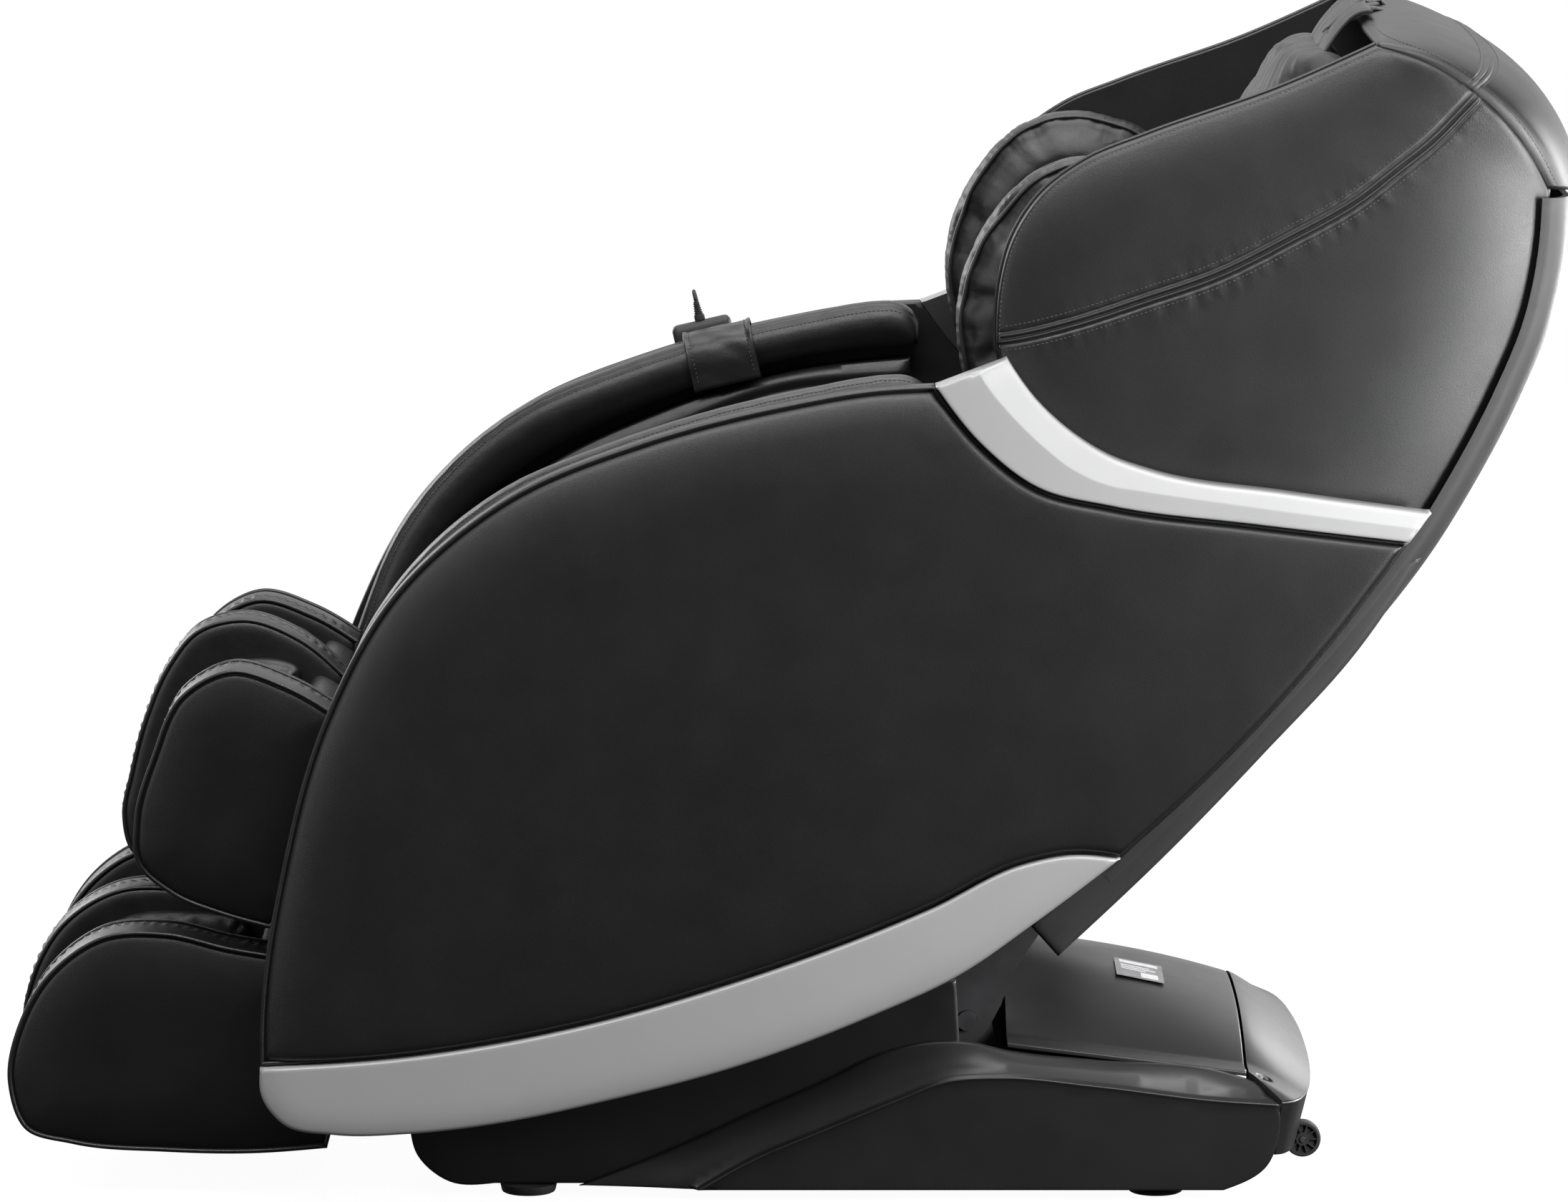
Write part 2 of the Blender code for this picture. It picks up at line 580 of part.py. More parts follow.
def tilt_yoke():
    """Cross beam under the pan with two lugs that reach down around the tilt pin."""
    beam = box("tilt_yoke", "dark_steel", (0.110, 0.430, 0.020), (0.085, 0.0, 0.3255), tilt,
               turn=(0.0, PAN_SLOPE, 0.0))
    x, z = TILT_AXIS
    shape = [(0.030, 0.330, 0), (0.135, 0.318, 0), (0.222, 0.286, 0), (0.252, 0.262, 0), (0.222, 0.216),
             (x + 0.026, z), (x, z - 0.026), (x - 0.026, z), (0.110, 0.240), (0.040, 0.290)]
    lugs = [plate(f"yoke_lug_{s:+.0f}", "dark_steel", shape, *span(s, 0.203, 0.2105), tilt, as_mesh=True)
            for s in (-1.0, 1.0)]
    combine(beam, lugs)
    bore = cross_cylinder("yoke_bore", "dark_steel", 0.0104, -0.25, 0.25, TILT_AXIS, tilt)
    return combine(beam, [bore], "DIFFERENCE")


def seat_cushion():
    shape = [(-0.380, 0.4205, 0), (-0.392, 0.452), (-0.372, 0.486), (-0.300, 0.497), (-0.150, 0.474),
             (0.000, 0.446), (0.085, 0.432), (0.118, 0.405), (0.110, 0.3475, 0)]
    return plate("seat_cushion", "black_leather", shape, -SEAT_HALF, SEAT_HALF, tilt, 0.012)


def side_panel(name, side):
    outline = PANEL_FRONT + PANEL_TRIM_EDGE[1:] + PANEL_REAR[1:] + PANEL_LOW_EDGE[1:-1]
    return plate(name, "black_leather", outline, *span(side, BODY_HALF - PANEL_THICK, BODY_HALF), tilt,
                 0.008, GAP / 2)


def lower_trim(name, side):
    outline = LOWER_TRIM_KEEL + PANEL_LOW_EDGE[1:-1]
    return plate(name, "silver_satin", outline,
                 *span(side, BODY_HALF - PANEL_THICK, BODY_HALF + TRIM_PROUD), tilt, 0.003, GAP / 2)


def upper_trim(name, side):
    outline = PANEL_TRIM_EDGE + UPPER_TRIM_CREST[1:-1]
    return plate(name, "silver_satin", outline,
                 *span(side, BODY_HALF - PANEL_THICK, BODY_HALF + TRIM_PROUD), tilt, 0.003, GAP / 2)


def arm_top(name, side):
    return plate(name, "black_leather", ARM_BAND, *span(side, 0.302, 0.3505), tilt, 0.008)


def arm_lining(name, side):
    """Inner wall of the armrest, which holds its air cushion."""
    shape = [(-0.450, 0.350, 0), (-0.432, 0.420), (-0.404, 0.500), (-0.354, 0.584), (-0.266, 0.660),
             (-0.148, 0.718), (0.000, 0.765), (0.128, 0.780, 0), (0.150, 0.600), (0.160, 0.400, 0),
             (0.000, 0.400, 0)]
    return plate(name, "black_leather", shape, *span(side, 0.2995, 0.3495), tilt, 0.010)


seat_pan()
tilt_yoke()
seat_cushion()
for stem, make in (("chassis_plate", chassis_plate), ("side_panel", side_panel),
                   ("lower_trim", lower_trim), ("upper_trim", upper_trim), ("arm_top", arm_top),
                   ("arm_lining", arm_lining)):
    mirrored_pair(make, stem)

# ---------------------------------------------------------------- backrest on the hip axis


def on_back(up, out):
    """The (x, z) place that lies up the back from the hip axis, and out towards the sitter."""
    return (HIP_AXIS[0] + up * math.sin(BACK_LEAN) - out * math.cos(BACK_LEAN),
            HIP_AXIS[1] + up * math.cos(BACK_LEAN) + out * math.sin(BACK_LEAN))


def back_box(name, material, up, out, y_low, y_high, edge=0.0, parent=None):
    """A box lined up with the back, from pairs of limits up the back and out of it."""
    x, z = on_back(sum(up) / 2, sum(out) / 2)
    size = (out[1] - out[0], y_high - y_low, up[1] - up[0])
    return box(name, material, size, (x, (y_low + y_high) / 2, z), parent or hip, edge,
               (0.0, BACK_LEAN, 0.0))


def back_shell():
    """Plastic rear shell: a bent back plate with two cheeks that run down behind the side panels."""
    inner = [(0.7565, 1.008, 0), (0.7525, 0.960), (0.7375, 0.884), (0.708, 0.810), (0.6645, 0.7245),
             (0.628, 0.666), (0.554, 0.565), (0.464, 0.4635), (0.366, 0.3635), (0.325, 0.3225, 0)]
    sheet = plate("back_shell", "shell_plastic", SHELL_REAR + inner[::-1], -0.338, 0.338, hip, as_mesh=True)
    cheek = [(0.618, 0.656, 0), (0.556, 0.562), (0.466, 0.461), (0.372, 0.3615), (0.262, 0.2550, 0),
             (0.232, 0.288, 0), (0.300, 0.352), (0.390, 0.452), (0.480, 0.560), (0.545, 0.650, 0)]
    cheeks = [plate(f"shell_cheek_{s:+.0f}", "shell_plastic", cheek, *span(s, 0.303, 0.3375), hip,
                    as_mesh=True) for s in (-1.0, 1.0)]
    return combine(sheet, cheeks)


def wing(name, side):
    outline = WING_FRONT + WING_HOOD_SEAM[1:] + WING_REAR[1:] + WING_HEM[1:-1]
    return plate(name, "black_leather", outline, *span(side, WING_INNER, WING_OUTER), hip, 0.010, GAP)


def hood():
    """Padded hood over the top, between and behind the wings' upper ends."""
    outside = [(0.592, 1.175), (0.640, 1.165), (0.694, 1.139), (0.742, 1.100), (0.773, 1.057),
               (0.7872, 1.014, 0)]
    return plate("hood", "black_leather", WING_HOOD_SEAM[::-1] + outside, -0.338, 0.338, hip, 0.003, GAP / 2)


def shoulder_pad(name, side):
    shape = [(0.185, 0.772, 0), (0.165, 0.825), (0.157, 0.880), (0.168, 0.940), (0.196, 0.992),
             (0.240, 1.034), (0.285, 1.048), (0.340, 1.040), (0.400, 1.010, 0), (0.395, 0.900, 0),
             (0.330, 0.800), (0.250, 0.762)]
    return plate(name, "black_leather", shape, *span(side, 0.205, 0.2965), hip, 0.024)


def back_pad():
    return back_box("back_pad", "black_leather", (0.105, 0.835), (0.006, 0.062), -0.192, 0.192, 0.012)


def back_frame():
    """Steel side ears on the hip pins, two guide rails and the bars that join them."""
    low = back_box("back_frame", "dark_steel", (0.100, 0.124), (-0.088, -0.064), -EAR_OUTER, EAR_OUTER)
    high = back_box("frame_top_bar", "dark_steel", (0.800, 0.824), (-0.088, -0.064), -EAR_OUTER, EAR_OUTER)
    rails = [back_box(f"guide_rail_{s:+.0f}", "zinc_steel", (0.110, 0.812), (-0.082, -0.070),
                      *span(s, 0.122, 0.138)) for s in (-1.0, 1.0)]
    x, z = HIP_AXIS
    shape = [(x - 0.004, z - 0.026), (x + 0.024, z - 0.006), on_back(0.126, -0.092) + (0,),
             on_back(0.126, -0.060) + (0,), (x - 0.024, z + 0.010)]
    ears = [plate(f"frame_ear_{s:+.0f}", "dark_steel", shape, *span(s, EAR_INNER, EAR_OUTER), hip,
                  as_mesh=True) for s in (-1.0, 1.0)]
    posts = [back_box(f"frame_post_{s:+.0f}", "dark_steel", (0.105, 0.822), (-0.086, -0.066),
                      *span(s, 0.262, EAR_OUTER - 0.001)) for s in (-1.0, 1.0)]
    combine(low, [high, *rails, *ears, *posts])
    bore = cross_cylinder("hip_bore", "dark_steel", 0.0104, -0.35, 0.35, HIP_AXIS, hip)
    return combine(low, [bore], "DIFFERENCE")


CARRIAGE_UP = 0.330      # place of the carriage up the back, at rest
ROLLER_SHAFT_OUT = -0.036


def massage_carriage():
    """Motor block between the rails, with shoes over and under each rail."""
    up = (CARRIAGE_UP - 0.060, CARRIAGE_UP + 0.060)
    block = back_box("massage_carriage", "dark_steel", up, (-0.125, -0.066), -0.1212, 0.1212)
    shoes = [back_box(f"shoe_{s:+.0f}_{out:.3f}", "dark_steel", (up[0] + 0.02, up[1] - 0.02),
                      (out, out + 0.006), *span(s, 0.118, 0.137))
             for s in (-1.0, 1.0) for out in (-0.0888, -0.0692)]
    cheeks = [back_box(f"shaft_cheek_{s:+.0f}", "dark_steel", (CARRIAGE_UP - 0.012, CARRIAGE_UP + 0.012),
                       (-0.070, -0.022), *span(s, 0.108, 0.114)) for s in (-1.0, 1.0)]
    combine(block, shoes + cheeks)
    bore = cross_cylinder("shaft_bore", "dark_steel", 0.0064, -0.2, 0.2,
                          on_back(CARRIAGE_UP, ROLLER_SHAFT_OUT), hip, 16)
    return combine(block, [bore], "DIFFERENCE")


def massage_rollers():
    """Shaft with two rocking arms, and a kneading roller at each end of both."""
    axis = on_back(CARRIAGE_UP, ROLLER_SHAFT_OUT)
    shaft = cross_cylinder("massage_rollers", "zinc_steel", 0.006, -0.116, 0.116, axis, hip, 16)
    parts = []
    for s in (-1.0, 1.0):
        parts.append(back_box(f"roller_arm_{s:+.0f}", "zinc_steel",
                              (CARRIAGE_UP - 0.075, CARRIAGE_UP + 0.075),
                              (ROLLER_SHAFT_OUT - 0.005, ROLLER_SHAFT_OUT + 0.007), *span(s, 0.052, 0.060)))
        for end in (-0.062, 0.062):
            parts.append(cross_cylinder(f"roller_{s:+.0f}_{end:+.3f}", "black_rubber", 0.021,
                                        *span(s, 0.058, 0.086),
                                        on_back(CARRIAGE_UP + end, ROLLER_SHAFT_OUT + 0.002), hip, 16))
    return combine(shaft, parts)


PILLOW_AXIS = (0.580, 1.1750)


def head_pillow():
    """Soft head pillow and the wide strap that hangs it from the hood's front edge."""
    x, z = PILLOW_AXIS
    pad = [on_back(0.600, 0.070) + (0,), on_back(0.600, 0.105), on_back(0.640, 0.142),
           on_back(0.730, 0.150), on_back(0.830, 0.142), on_back(0.862, 0.122), (x - 0.005, z + 0.0025, 0),
           (x + 0.002, z + 0.0025, 0), (x + 0.002, z - 0.0025, 0), (x - 0.003, z - 0.0025, 0),
           (0.562, 1.1645, 0), on_back(0.845, 0.075) + (0,)]
    return plate("head_pillow", "pillow_leather", pad, -0.150, 0.150, hip, as_mesh=True)


back_shell()
mirrored_pair(wing, "wing")
hood()
mirrored_pair(shoulder_pad, "shoulder_pad")
back_pad()
back_frame()
massage_carriage()
massage_rollers()
head_pillow()

# ---------------------------------------------------------------- leg rest on the knee axis

LEG_TOP = (-0.452, 0.490)
LEG_DOWN = Vector((-math.sin(LEG_LEAN), 0.0, -math.cos(LEG_LEAN)))
LEG_BEHIND = Vector((math.cos(LEG_LEAN), 0.0, -math.sin(LEG_LEAN)))
RAIL_Y = 0.120


def on_leg(down, behind):
    """The (x, z) place down the leg rest from its top, and behind its rear face."""
    place = Vector((LEG_TOP[0], 0.0, LEG_TOP[1])) + LEG_DOWN * down + LEG_BEHIND * behind
    return (place.x, place.z)


def leg_box(name, material, down, behind, y_low, y_high, edge=0.0):
    """A box lined up with the leg rest, from pairs of limits down it and behind it."""
    x, z = on_leg(sum(down) / 2, sum(behind) / 2)
    size = (behind[1] - behind[0], y_high - y_low, down[1] - down[0])
    return box(name, material, size, (x, (y_low + y_high) / 2, z), knee, edge, (0.0, LEG_LEAN, 0.0))


def calf_side(name, side):
    return plate(name, "black_leather", CALF_OUTLINE, *span(side, LEG_HALF - LEG_WALL, LEG_HALF), knee,
                 0.016, GAP / 2)


def calf_liner():
    """Padded trough floor behind both calves, with the centre wall between them."""
    floor_shape = [on_leg(0.012, -0.0015) + (0,), on_leg(0.000, -0.030), on_leg(0.060, -0.048),
                   on_leg(0.170, -0.046), on_leg(0.208, -0.030), on_leg(0.200, -0.0015) + (0,)]
    floor = plate("calf_liner", "black_leather", floor_shape, -0.2015, 0.2015, knee, as_mesh=True)
    wall = plate("calf_centre_wall", "black_leather", CALF_CENTRE, -CENTRE_WALL_HALF, CENTRE_WALL_HALF, knee,
                 0.010, GAP, as_mesh=True)
    return combine(floor, [wall])


def leg_frame():
    """Steel back plate of the leg rest, its hinge ears, and the sleeves of the foot rails."""
    board = leg_box("leg_frame", "dark_steel", (0.030, 0.205), (0.0012, 0.0062), -0.2835, 0.2835)
    x, z = KNEE_AXIS
    shape = [(x - 0.010, z + 0.020), (x + 0.018, z + 0.010), (x + 0.008, z - 0.020),
             on_leg(0.090, 0.0055) + (0,), on_leg(0.090, 0.0015) + (0,), on_leg(0.020, 0.0015) + (0,)]
    ears = [plate(f"leg_ear_{s:+.0f}", "dark_steel", shape, *span(s, 0.278, 0.2855), knee, as_mesh=True)
            for s in (-1.0, 1.0)]
    sleeves = [leg_box(f"rail_sleeve_{s:+.0f}", "dark_steel", (0.120, 0.195), (0.005, 0.033),
                       *span(s, RAIL_Y - 0.012, RAIL_Y + 0.012)) for s in (-1.0, 1.0)]
    combine(board, ears + sleeves)
    bore = cross_cylinder("knee_bore", "dark_steel", 0.0084, -0.35, 0.35, KNEE_AXIS, knee, 20)
    tunnels = [leg_box(f"sleeve_bore_{s:+.0f}", "dark_steel", (0.080, 0.240), (0.0114, 0.0266),
                       *span(s, RAIL_Y - 0.0076, RAIL_Y + 0.0076)) for s in (-1.0, 1.0)]
    return combine(board, [bore, *tunnels], "DIFFERENCE")


def foot_side(name, side):
    return plate(name, "black_leather", FOOT_OUTLINE, *span(side, LEG_HALF - LEG_WALL, LEG_HALF), knee,
                 0.016, GAP / 2)


def foot_liner():
    """Padded heel and sole of both foot wells, with the centre wall between them."""
    heel_top, heel_low = on_leg(0.262, 0.0105), on_leg(0.418, 0.0105)
    floor_shape = [heel_top + (0,), on_leg(0.258, -0.020), on_leg(0.360, -0.026), (-0.610, 0.104),
                   (-0.700, 0.104), (-0.745, 0.118), (-0.764, 0.108), (-0.752, 0.079, 0), heel_low + (0,)]
    floor = plate("foot_liner", "black_leather", floor_shape, -0.2015, 0.2015, knee, as_mesh=True)
    wall_shape = [on_leg(0.252, 0.0095) + (0,), (-0.562, 0.254), (-0.627, 0.269), (-0.690, 0.265),
                  (-0.741, 0.231), (-0.775, 0.175), (-0.783, 0.118), (-0.768, 0.082, 0),
                  on_leg(0.412, 0.0095) + (0,)]
    wall = plate("foot_centre_wall", "black_leather", wall_shape, -CENTRE_WALL_HALF, CENTRE_WALL_HALF, knee,
                 0.008, GAP / 2, as_mesh=True)
    return combine(floor, [wall])


def foot_frame():
    """Steel sole plate, heel plate and the two rails that slide in the leg frame's sleeves."""
    sole = box("foot_frame", "dark_steel", (0.280, 0.400, 0.006), (-0.612, 0.0, 0.0725), knee)
    heel = leg_box("heel_plate", "dark_steel", (0.255, 0.440), (0.0120, 0.0160), -0.200, 0.200)
    rails = [leg_box(f"foot_rail_{s:+.0f}", "zinc_steel", (0.060, 0.425), (0.0120, 0.0260),
                     *span(s, RAIL_Y - 0.007, RAIL_Y + 0.007)) for s in (-1.0, 1.0)]
    return combine(sole, [heel, *rails])


mirrored_pair(calf_side, "calf_side")
calf_liner()
leg_frame()
mirrored_pair(foot_side, "foot_side")
foot_liner()
foot_frame()

# ---------------------------------------------------------------- remote control on the right armrest

REMOTE_WIDTH, REMOTE_THICK, REMOTE_LENGTH = 0.064, 0.0185, 0.150
REMOTE_Y = 0.4035                   # middle of the remote's thickness
REMOTE_TOP = (-0.097, 0.8060)       # middle of its upper end
REMOTE_DOWN = Vector((math.sin(ARM_SLOPE), 0.0, -math.cos(ARM_SLOPE)))
CORD_RADIUS = 0.002
CORD_ROUTE = [(-0.1017, 0.4035, 0.8267), (-0.1028, 0.4048, 0.8313), (-0.1036, 0.40825, 0.8346),
              (-0.1038, 0.4130, 0.8359), (-0.1036, 0.41775, 0.8346), (-0.1026, 0.4214, 0.8312),
              (-0.1010, 0.4245, 0.8250), (-0.0982, 0.4274, 0.8120), (-0.0952, 0.4288, 0.7950),
              (-0.0920, 0.4290, 0.7700), (-0.0840, 0.4290, 0.6900), (-0.0740, 0.4275, 0.5600),
              (-0.0600, 0.4260, 0.4300), (-0.0400, 0.4250, 0.3500), (-0.0080, 0.4250, 0.3200),
              (0.0190, 0.4220, 0.3420), (0.0270, 0.4130, 0.3900), (0.0270, 0.4010, 0.4150),
              (0.0270, 0.3947, 0.4180)]


def on_remote(down, across=0.0):
    """The (x, z) place down the remote from its upper end, and across it towards the rear."""
    return (REMOTE_TOP[0] + down * math.sin(ARM_SLOPE) + across * math.cos(ARM_SLOPE),
            REMOTE_TOP[1] - down * math.cos(ARM_SLOPE) + across * math.sin(ARM_SLOPE))


def remote_box(name, material, down, across, y_low, y_high, edge=0.0):
    x, z = on_remote(sum(down) / 2, sum(across) / 2)
    size = (across[1] - across[0], y_high - y_low, down[1] - down[0])
    return box(name, material, size, (x, (y_low + y_high) / 2, z), tilt, edge, (0.0, -ARM_SLOPE, 0.0))


def remote_body():
    half = REMOTE_WIDTH / 2
    body = remote_box("remote_body", "base_plastic", (0.0, REMOTE_LENGTH), (-half, half),
                      REMOTE_Y - REMOTE_THICK / 2, REMOTE_Y + REMOTE_THICK / 2, 0.004)
    face = REMOTE_Y + REMOTE_THICK / 2
    recesses = [remote_box("screen_recess", "base_plastic", (0.012, 0.052), (-0.024, 0.024),
                           face - 0.0015, face + 1),
                remote_box("button_recess", "base_plastic", (0.0575, 0.0705), (-0.0065, 0.0065),
                           face - 0.003, face + 1)]
    return combine(body, recesses, "DIFFERENCE")


def remote_boot():
    """Ribbed strain relief on the remote's upper end: a turned profile."""
    length = 0.0205
    profile = [(0.0, 0.0), (0.0055, 0.0), (0.0052, 0.006), (0.0042, 0.0065)]
    for rib in range(4):
        low = 0.0078 + rib * 0.0030
        wide = 0.0048 - rib * 0.0003
        profile += [(wide - 0.0009, low), (wide, low + 0.0005), (wide, low + 0.0015),
                    (wide - 0.0009, low + 0.0020)]
    profile += [(0.0030, length), (0.0, length)]
    bm = bmesh.new()
    verts = [bm.verts.new((radius, 0.0, height)) for radius, height in reversed(profile)]
    for a, b in zip(verts, verts[1:]):
        bm.edges.new((a, b))
    boot = mesh_object("remote_boot", bm)
    x, z = on_remote(-0.0003)
    settle(boot, "black_rubber", (x, REMOTE_Y, z), tilt, (0.0, -ARM_SLOPE, 0.0))
    turn = boot.modifiers.new("turn", "SCREW")
    turn.axis = "Z"
    turn.steps = turn.render_steps = 10
    turn.use_merge_vertices = True
    turn.merge_threshold = 0.00001
    return boot


def remote_pouch():
    """Leather band over the armrest, ending in a pouch outside the panel that holds the remote."""
    def band_box(name, down, across, y_low, y_high):
        return remote_box(name, "black_leather", down, across, y_low, y_high)
    band = band_box("remote_pouch", (0.0040, 0.060), (-0.018, 0.052), 0.2965, 0.3930)
    pocket = band_box("pouch_pocket", (0.075, REMOTE_LENGTH + 0.006), (-0.035, 0.035), 0.3900, POUCH_OUTER)
    strap = band_box("pouch_strap", (0.040, 0.100), (-0.022, 0.035), 0.3900, 0.3930)
    combine(band, [strap, pocket])
    under = band_box("band_inside", (0.0070, 0.090), (-0.060, 0.060), 0.2995, 0.3900)
    slot = band_box("pocket_inside", (0.030, REMOTE_LENGTH + 0.0015), (-0.0335, 0.0335),
                    0.3930, POUCH_OUTER - 0.0015)
    return combine(band, [under, slot], "DIFFERENCE")


def cord_gland():
    return cross_cylinder("cord_gland", "black_rubber", 0.007, BODY_HALF + 0.0004, 0.3943,
                          CORD_ROUTE[-1][::2], tilt, 16)


remote_body()
face_y = REMOTE_Y + REMOTE_THICK / 2
remote_box("remote_screen", "display_glass", (0.0125, 0.0515), (-0.0235, 0.0235),
           face_y - 0.0011, face_y - 0.0001)
remote_box("remote_button", "black_rubber", (0.058, 0.070), (-0.006, 0.006),
           face_y - 0.0014, face_y + 0.0010)
remote_boot()
remote_pouch()
cord_gland()
tube("remote_cord", "black_rubber", smooth_route(CORD_ROUTE, 0.012), CORD_RADIUS, tilt)
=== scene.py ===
"""The looks of a zero-gravity massage chair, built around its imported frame.

All places are in metres in the frame's own axes: the sitter faces -X, the chair's left side is at
-Y. Places in y are counted from the chair's mid-plane, which stands at MID.
"""

import json
import math

import bmesh
import bpy
import numpy as np
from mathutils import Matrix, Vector
from mathutils.bvhtree import BVHTree
from mathutils.geometry import delaunay_2d_cdt


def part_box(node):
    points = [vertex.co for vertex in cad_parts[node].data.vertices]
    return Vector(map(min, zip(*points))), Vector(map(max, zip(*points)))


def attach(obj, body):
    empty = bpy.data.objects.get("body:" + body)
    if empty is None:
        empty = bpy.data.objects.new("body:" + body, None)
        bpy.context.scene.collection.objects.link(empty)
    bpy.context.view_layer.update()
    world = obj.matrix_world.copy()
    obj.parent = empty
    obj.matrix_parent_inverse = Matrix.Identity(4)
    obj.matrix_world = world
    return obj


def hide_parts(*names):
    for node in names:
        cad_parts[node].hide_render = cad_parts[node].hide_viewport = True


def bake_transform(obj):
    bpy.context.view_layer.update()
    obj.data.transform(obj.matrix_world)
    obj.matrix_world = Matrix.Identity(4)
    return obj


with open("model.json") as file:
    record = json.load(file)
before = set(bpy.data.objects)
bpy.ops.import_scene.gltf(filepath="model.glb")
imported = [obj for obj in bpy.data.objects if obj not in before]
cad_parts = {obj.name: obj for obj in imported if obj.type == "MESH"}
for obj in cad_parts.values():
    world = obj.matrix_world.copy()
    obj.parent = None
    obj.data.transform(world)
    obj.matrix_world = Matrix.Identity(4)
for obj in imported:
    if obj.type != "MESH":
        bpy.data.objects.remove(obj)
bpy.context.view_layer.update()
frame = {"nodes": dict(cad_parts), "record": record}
scene = bpy.context.scene
MID = (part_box("side_panel_left")[0].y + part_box("side_panel_right")[1].y) / 2
SIDES = (("left", -1.0), ("right", 1.0))

# ---------------------------------------------------------------- camera

PITCH = math.radians(8.4)
RANGE = 8.8
TARGET = Vector((-0.0385, MID, 0.5626))

camera = bpy.data.objects.new("camera", bpy.data.cameras.new("camera"))
scene.collection.objects.link(camera)
camera.location = TARGET + Vector((0.0, -RANGE * math.cos(PITCH), RANGE * math.sin(PITCH)))
camera.rotation_euler = (math.pi / 2 - PITCH, 0.0, 0.0)
camera.data.sensor_width = 36.0
camera.data.lens = 197.2
camera.data.shift_x = 0.0185
camera.data.clip_end = 200.0
scene.camera = camera
scene.view_settings.view_transform = "Standard"

# ---------------------------------------------------------------- outlines
# Each place is (x, z). A third value marks a corner.

PANEL_FRONT = [(-0.528, 0.154, 0), (-0.527, 0.205), (-0.507, 0.341), (-0.463, 0.498), (-0.392, 0.626),
               (-0.287, 0.717), (-0.146, 0.777), (-0.007, 0.813), (0.082, 0.828), (0.137, 0.831, 0)]
PANEL_TRIM_EDGE = [(0.137, 0.831, 0), (0.182, 0.774), (0.238, 0.731), (0.309, 0.713), (0.449, 0.695),
                   (0.602, 0.677, 0)]
PANEL_REAR = [(0.602, 0.677, 0), (0.520, 0.567), (0.416, 0.451), (0.322, 0.363, 0)]
PANEL_LOW_EDGE = [(0.322, 0.363, 0), (0.275, 0.3675), (0.225, 0.358), (0.135, 0.314), (-0.040, 0.246),
                  (-0.218, 0.194), (-0.372, 0.166), (-0.528, 0.154, 0)]
LOWER_TRIM_KEEL = [(-0.528, 0.154, 0), (-0.527, 0.125), (-0.504, 0.095), (-0.455, 0.085), (-0.381, 0.086),
                   (-0.289, 0.097), (-0.186, 0.119), (-0.056, 0.154), (0.075, 0.204), (0.160, 0.244),
                   (0.240, 0.300), (0.322, 0.363, 0)]
UPPER_TRIM_CREST = [(0.602, 0.677, 0), (0.624, 0.706, 0), (0.484, 0.7255), (0.350, 0.747), (0.308, 0.762),
                    (0.270, 0.786), (0.237, 0.817), (0.208, 0.858, 0), (0.137, 0.831, 0)]
TRIM_FACET = [(0.170, 0.866), (0.187, 0.833), (0.209, 0.806), (0.240, 0.775), (0.275, 0.748), (0.311, 0.733),
              (0.338, 0.7285), (0.449, 0.7125), (0.640, 0.6875)]
ARM_CREST = [(-0.503, 0.330), (-0.484, 0.410), (-0.456, 0.500), (-0.418, 0.590), (-0.352, 0.673),
             (-0.289, 0.721), (-0.184, 0.7665), (-0.077, 0.801), (0.019, 0.823), (0.080, 0.834),
             (0.134, 0.836)]
ARM_UNDER = [(-0.458, 0.330), (-0.440, 0.420), (-0.412, 0.500), (-0.360, 0.590), (-0.270, 0.668),
             (-0.150, 0.727), (0.000, 0.775), (0.134, 0.790)]
ARM_LINING = [(-0.450, 0.350, 0), (-0.432, 0.420), (-0.404, 0.500), (-0.354, 0.584), (-0.266, 0.660),
              (-0.148, 0.718), (0.000, 0.765), (0.128, 0.780, 0), (0.150, 0.600), (0.160, 0.400, 0),
              (0.000, 0.400, 0)]
WING_FRONT = [(0.1955, 0.862, 0), (0.199, 0.926), (0.210, 0.968), (0.238, 1.013), (0.285, 1.049),
              (0.343, 1.073), (0.480, 1.122), (0.569, 1.162, 0)]
WING_HOOD_SEAM = [(0.569, 1.162, 0), (0.620, 1.146), (0.667, 1.117), (0.712, 1.070), (0.742, 1.018, 0)]
WING_REAR = [(0.742, 1.018, 0), (0.738, 0.960), (0.722, 0.890), (0.690, 0.812), (0.655, 0.742),
             (0.607, 0.668, 0)]
WING_HEM = [(0.607, 0.668, 0), (0.480, 0.690), (0.345, 0.710), (0.270, 0.748), (0.222, 0.800),
            (0.1955, 0.862, 0)]
WING_STRIP = [(0.180, 0.869), (0.197, 0.871), (0.274, 0.889), (0.344, 0.912), (0.413, 0.936), (0.483, 0.971),
              (0.553, 1.011), (0.587, 1.038), (0.622, 1.066), (0.656, 1.101), (0.673, 1.119), (0.690, 1.136)]
HOOD_CROWN = [(0.569, 1.1765), (0.592, 1.175), (0.640, 1.165), (0.694, 1.139), (0.742, 1.100), (0.773, 1.057),
              (0.7872, 1.014)]
SHELL_REAR = [(0.764, 1.010), (0.761, 0.960), (0.746, 0.882), (0.716, 0.806), (0.672, 0.720),
              (0.636, 0.660), (0.560, 0.560), (0.470, 0.458), (0.372, 0.357), (0.330, 0.315)]
CALF_OUTLINE = [(-0.452, 0.490, 0), (-0.503, 0.520), (-0.560, 0.536), (-0.609, 0.511), (-0.640, 0.447),
                (-0.658, 0.382), (-0.656, 0.340), (-0.620, 0.306), (-0.572, 0.286), (-0.522, 0.272, 0),
                (-0.497, 0.292, 0)]
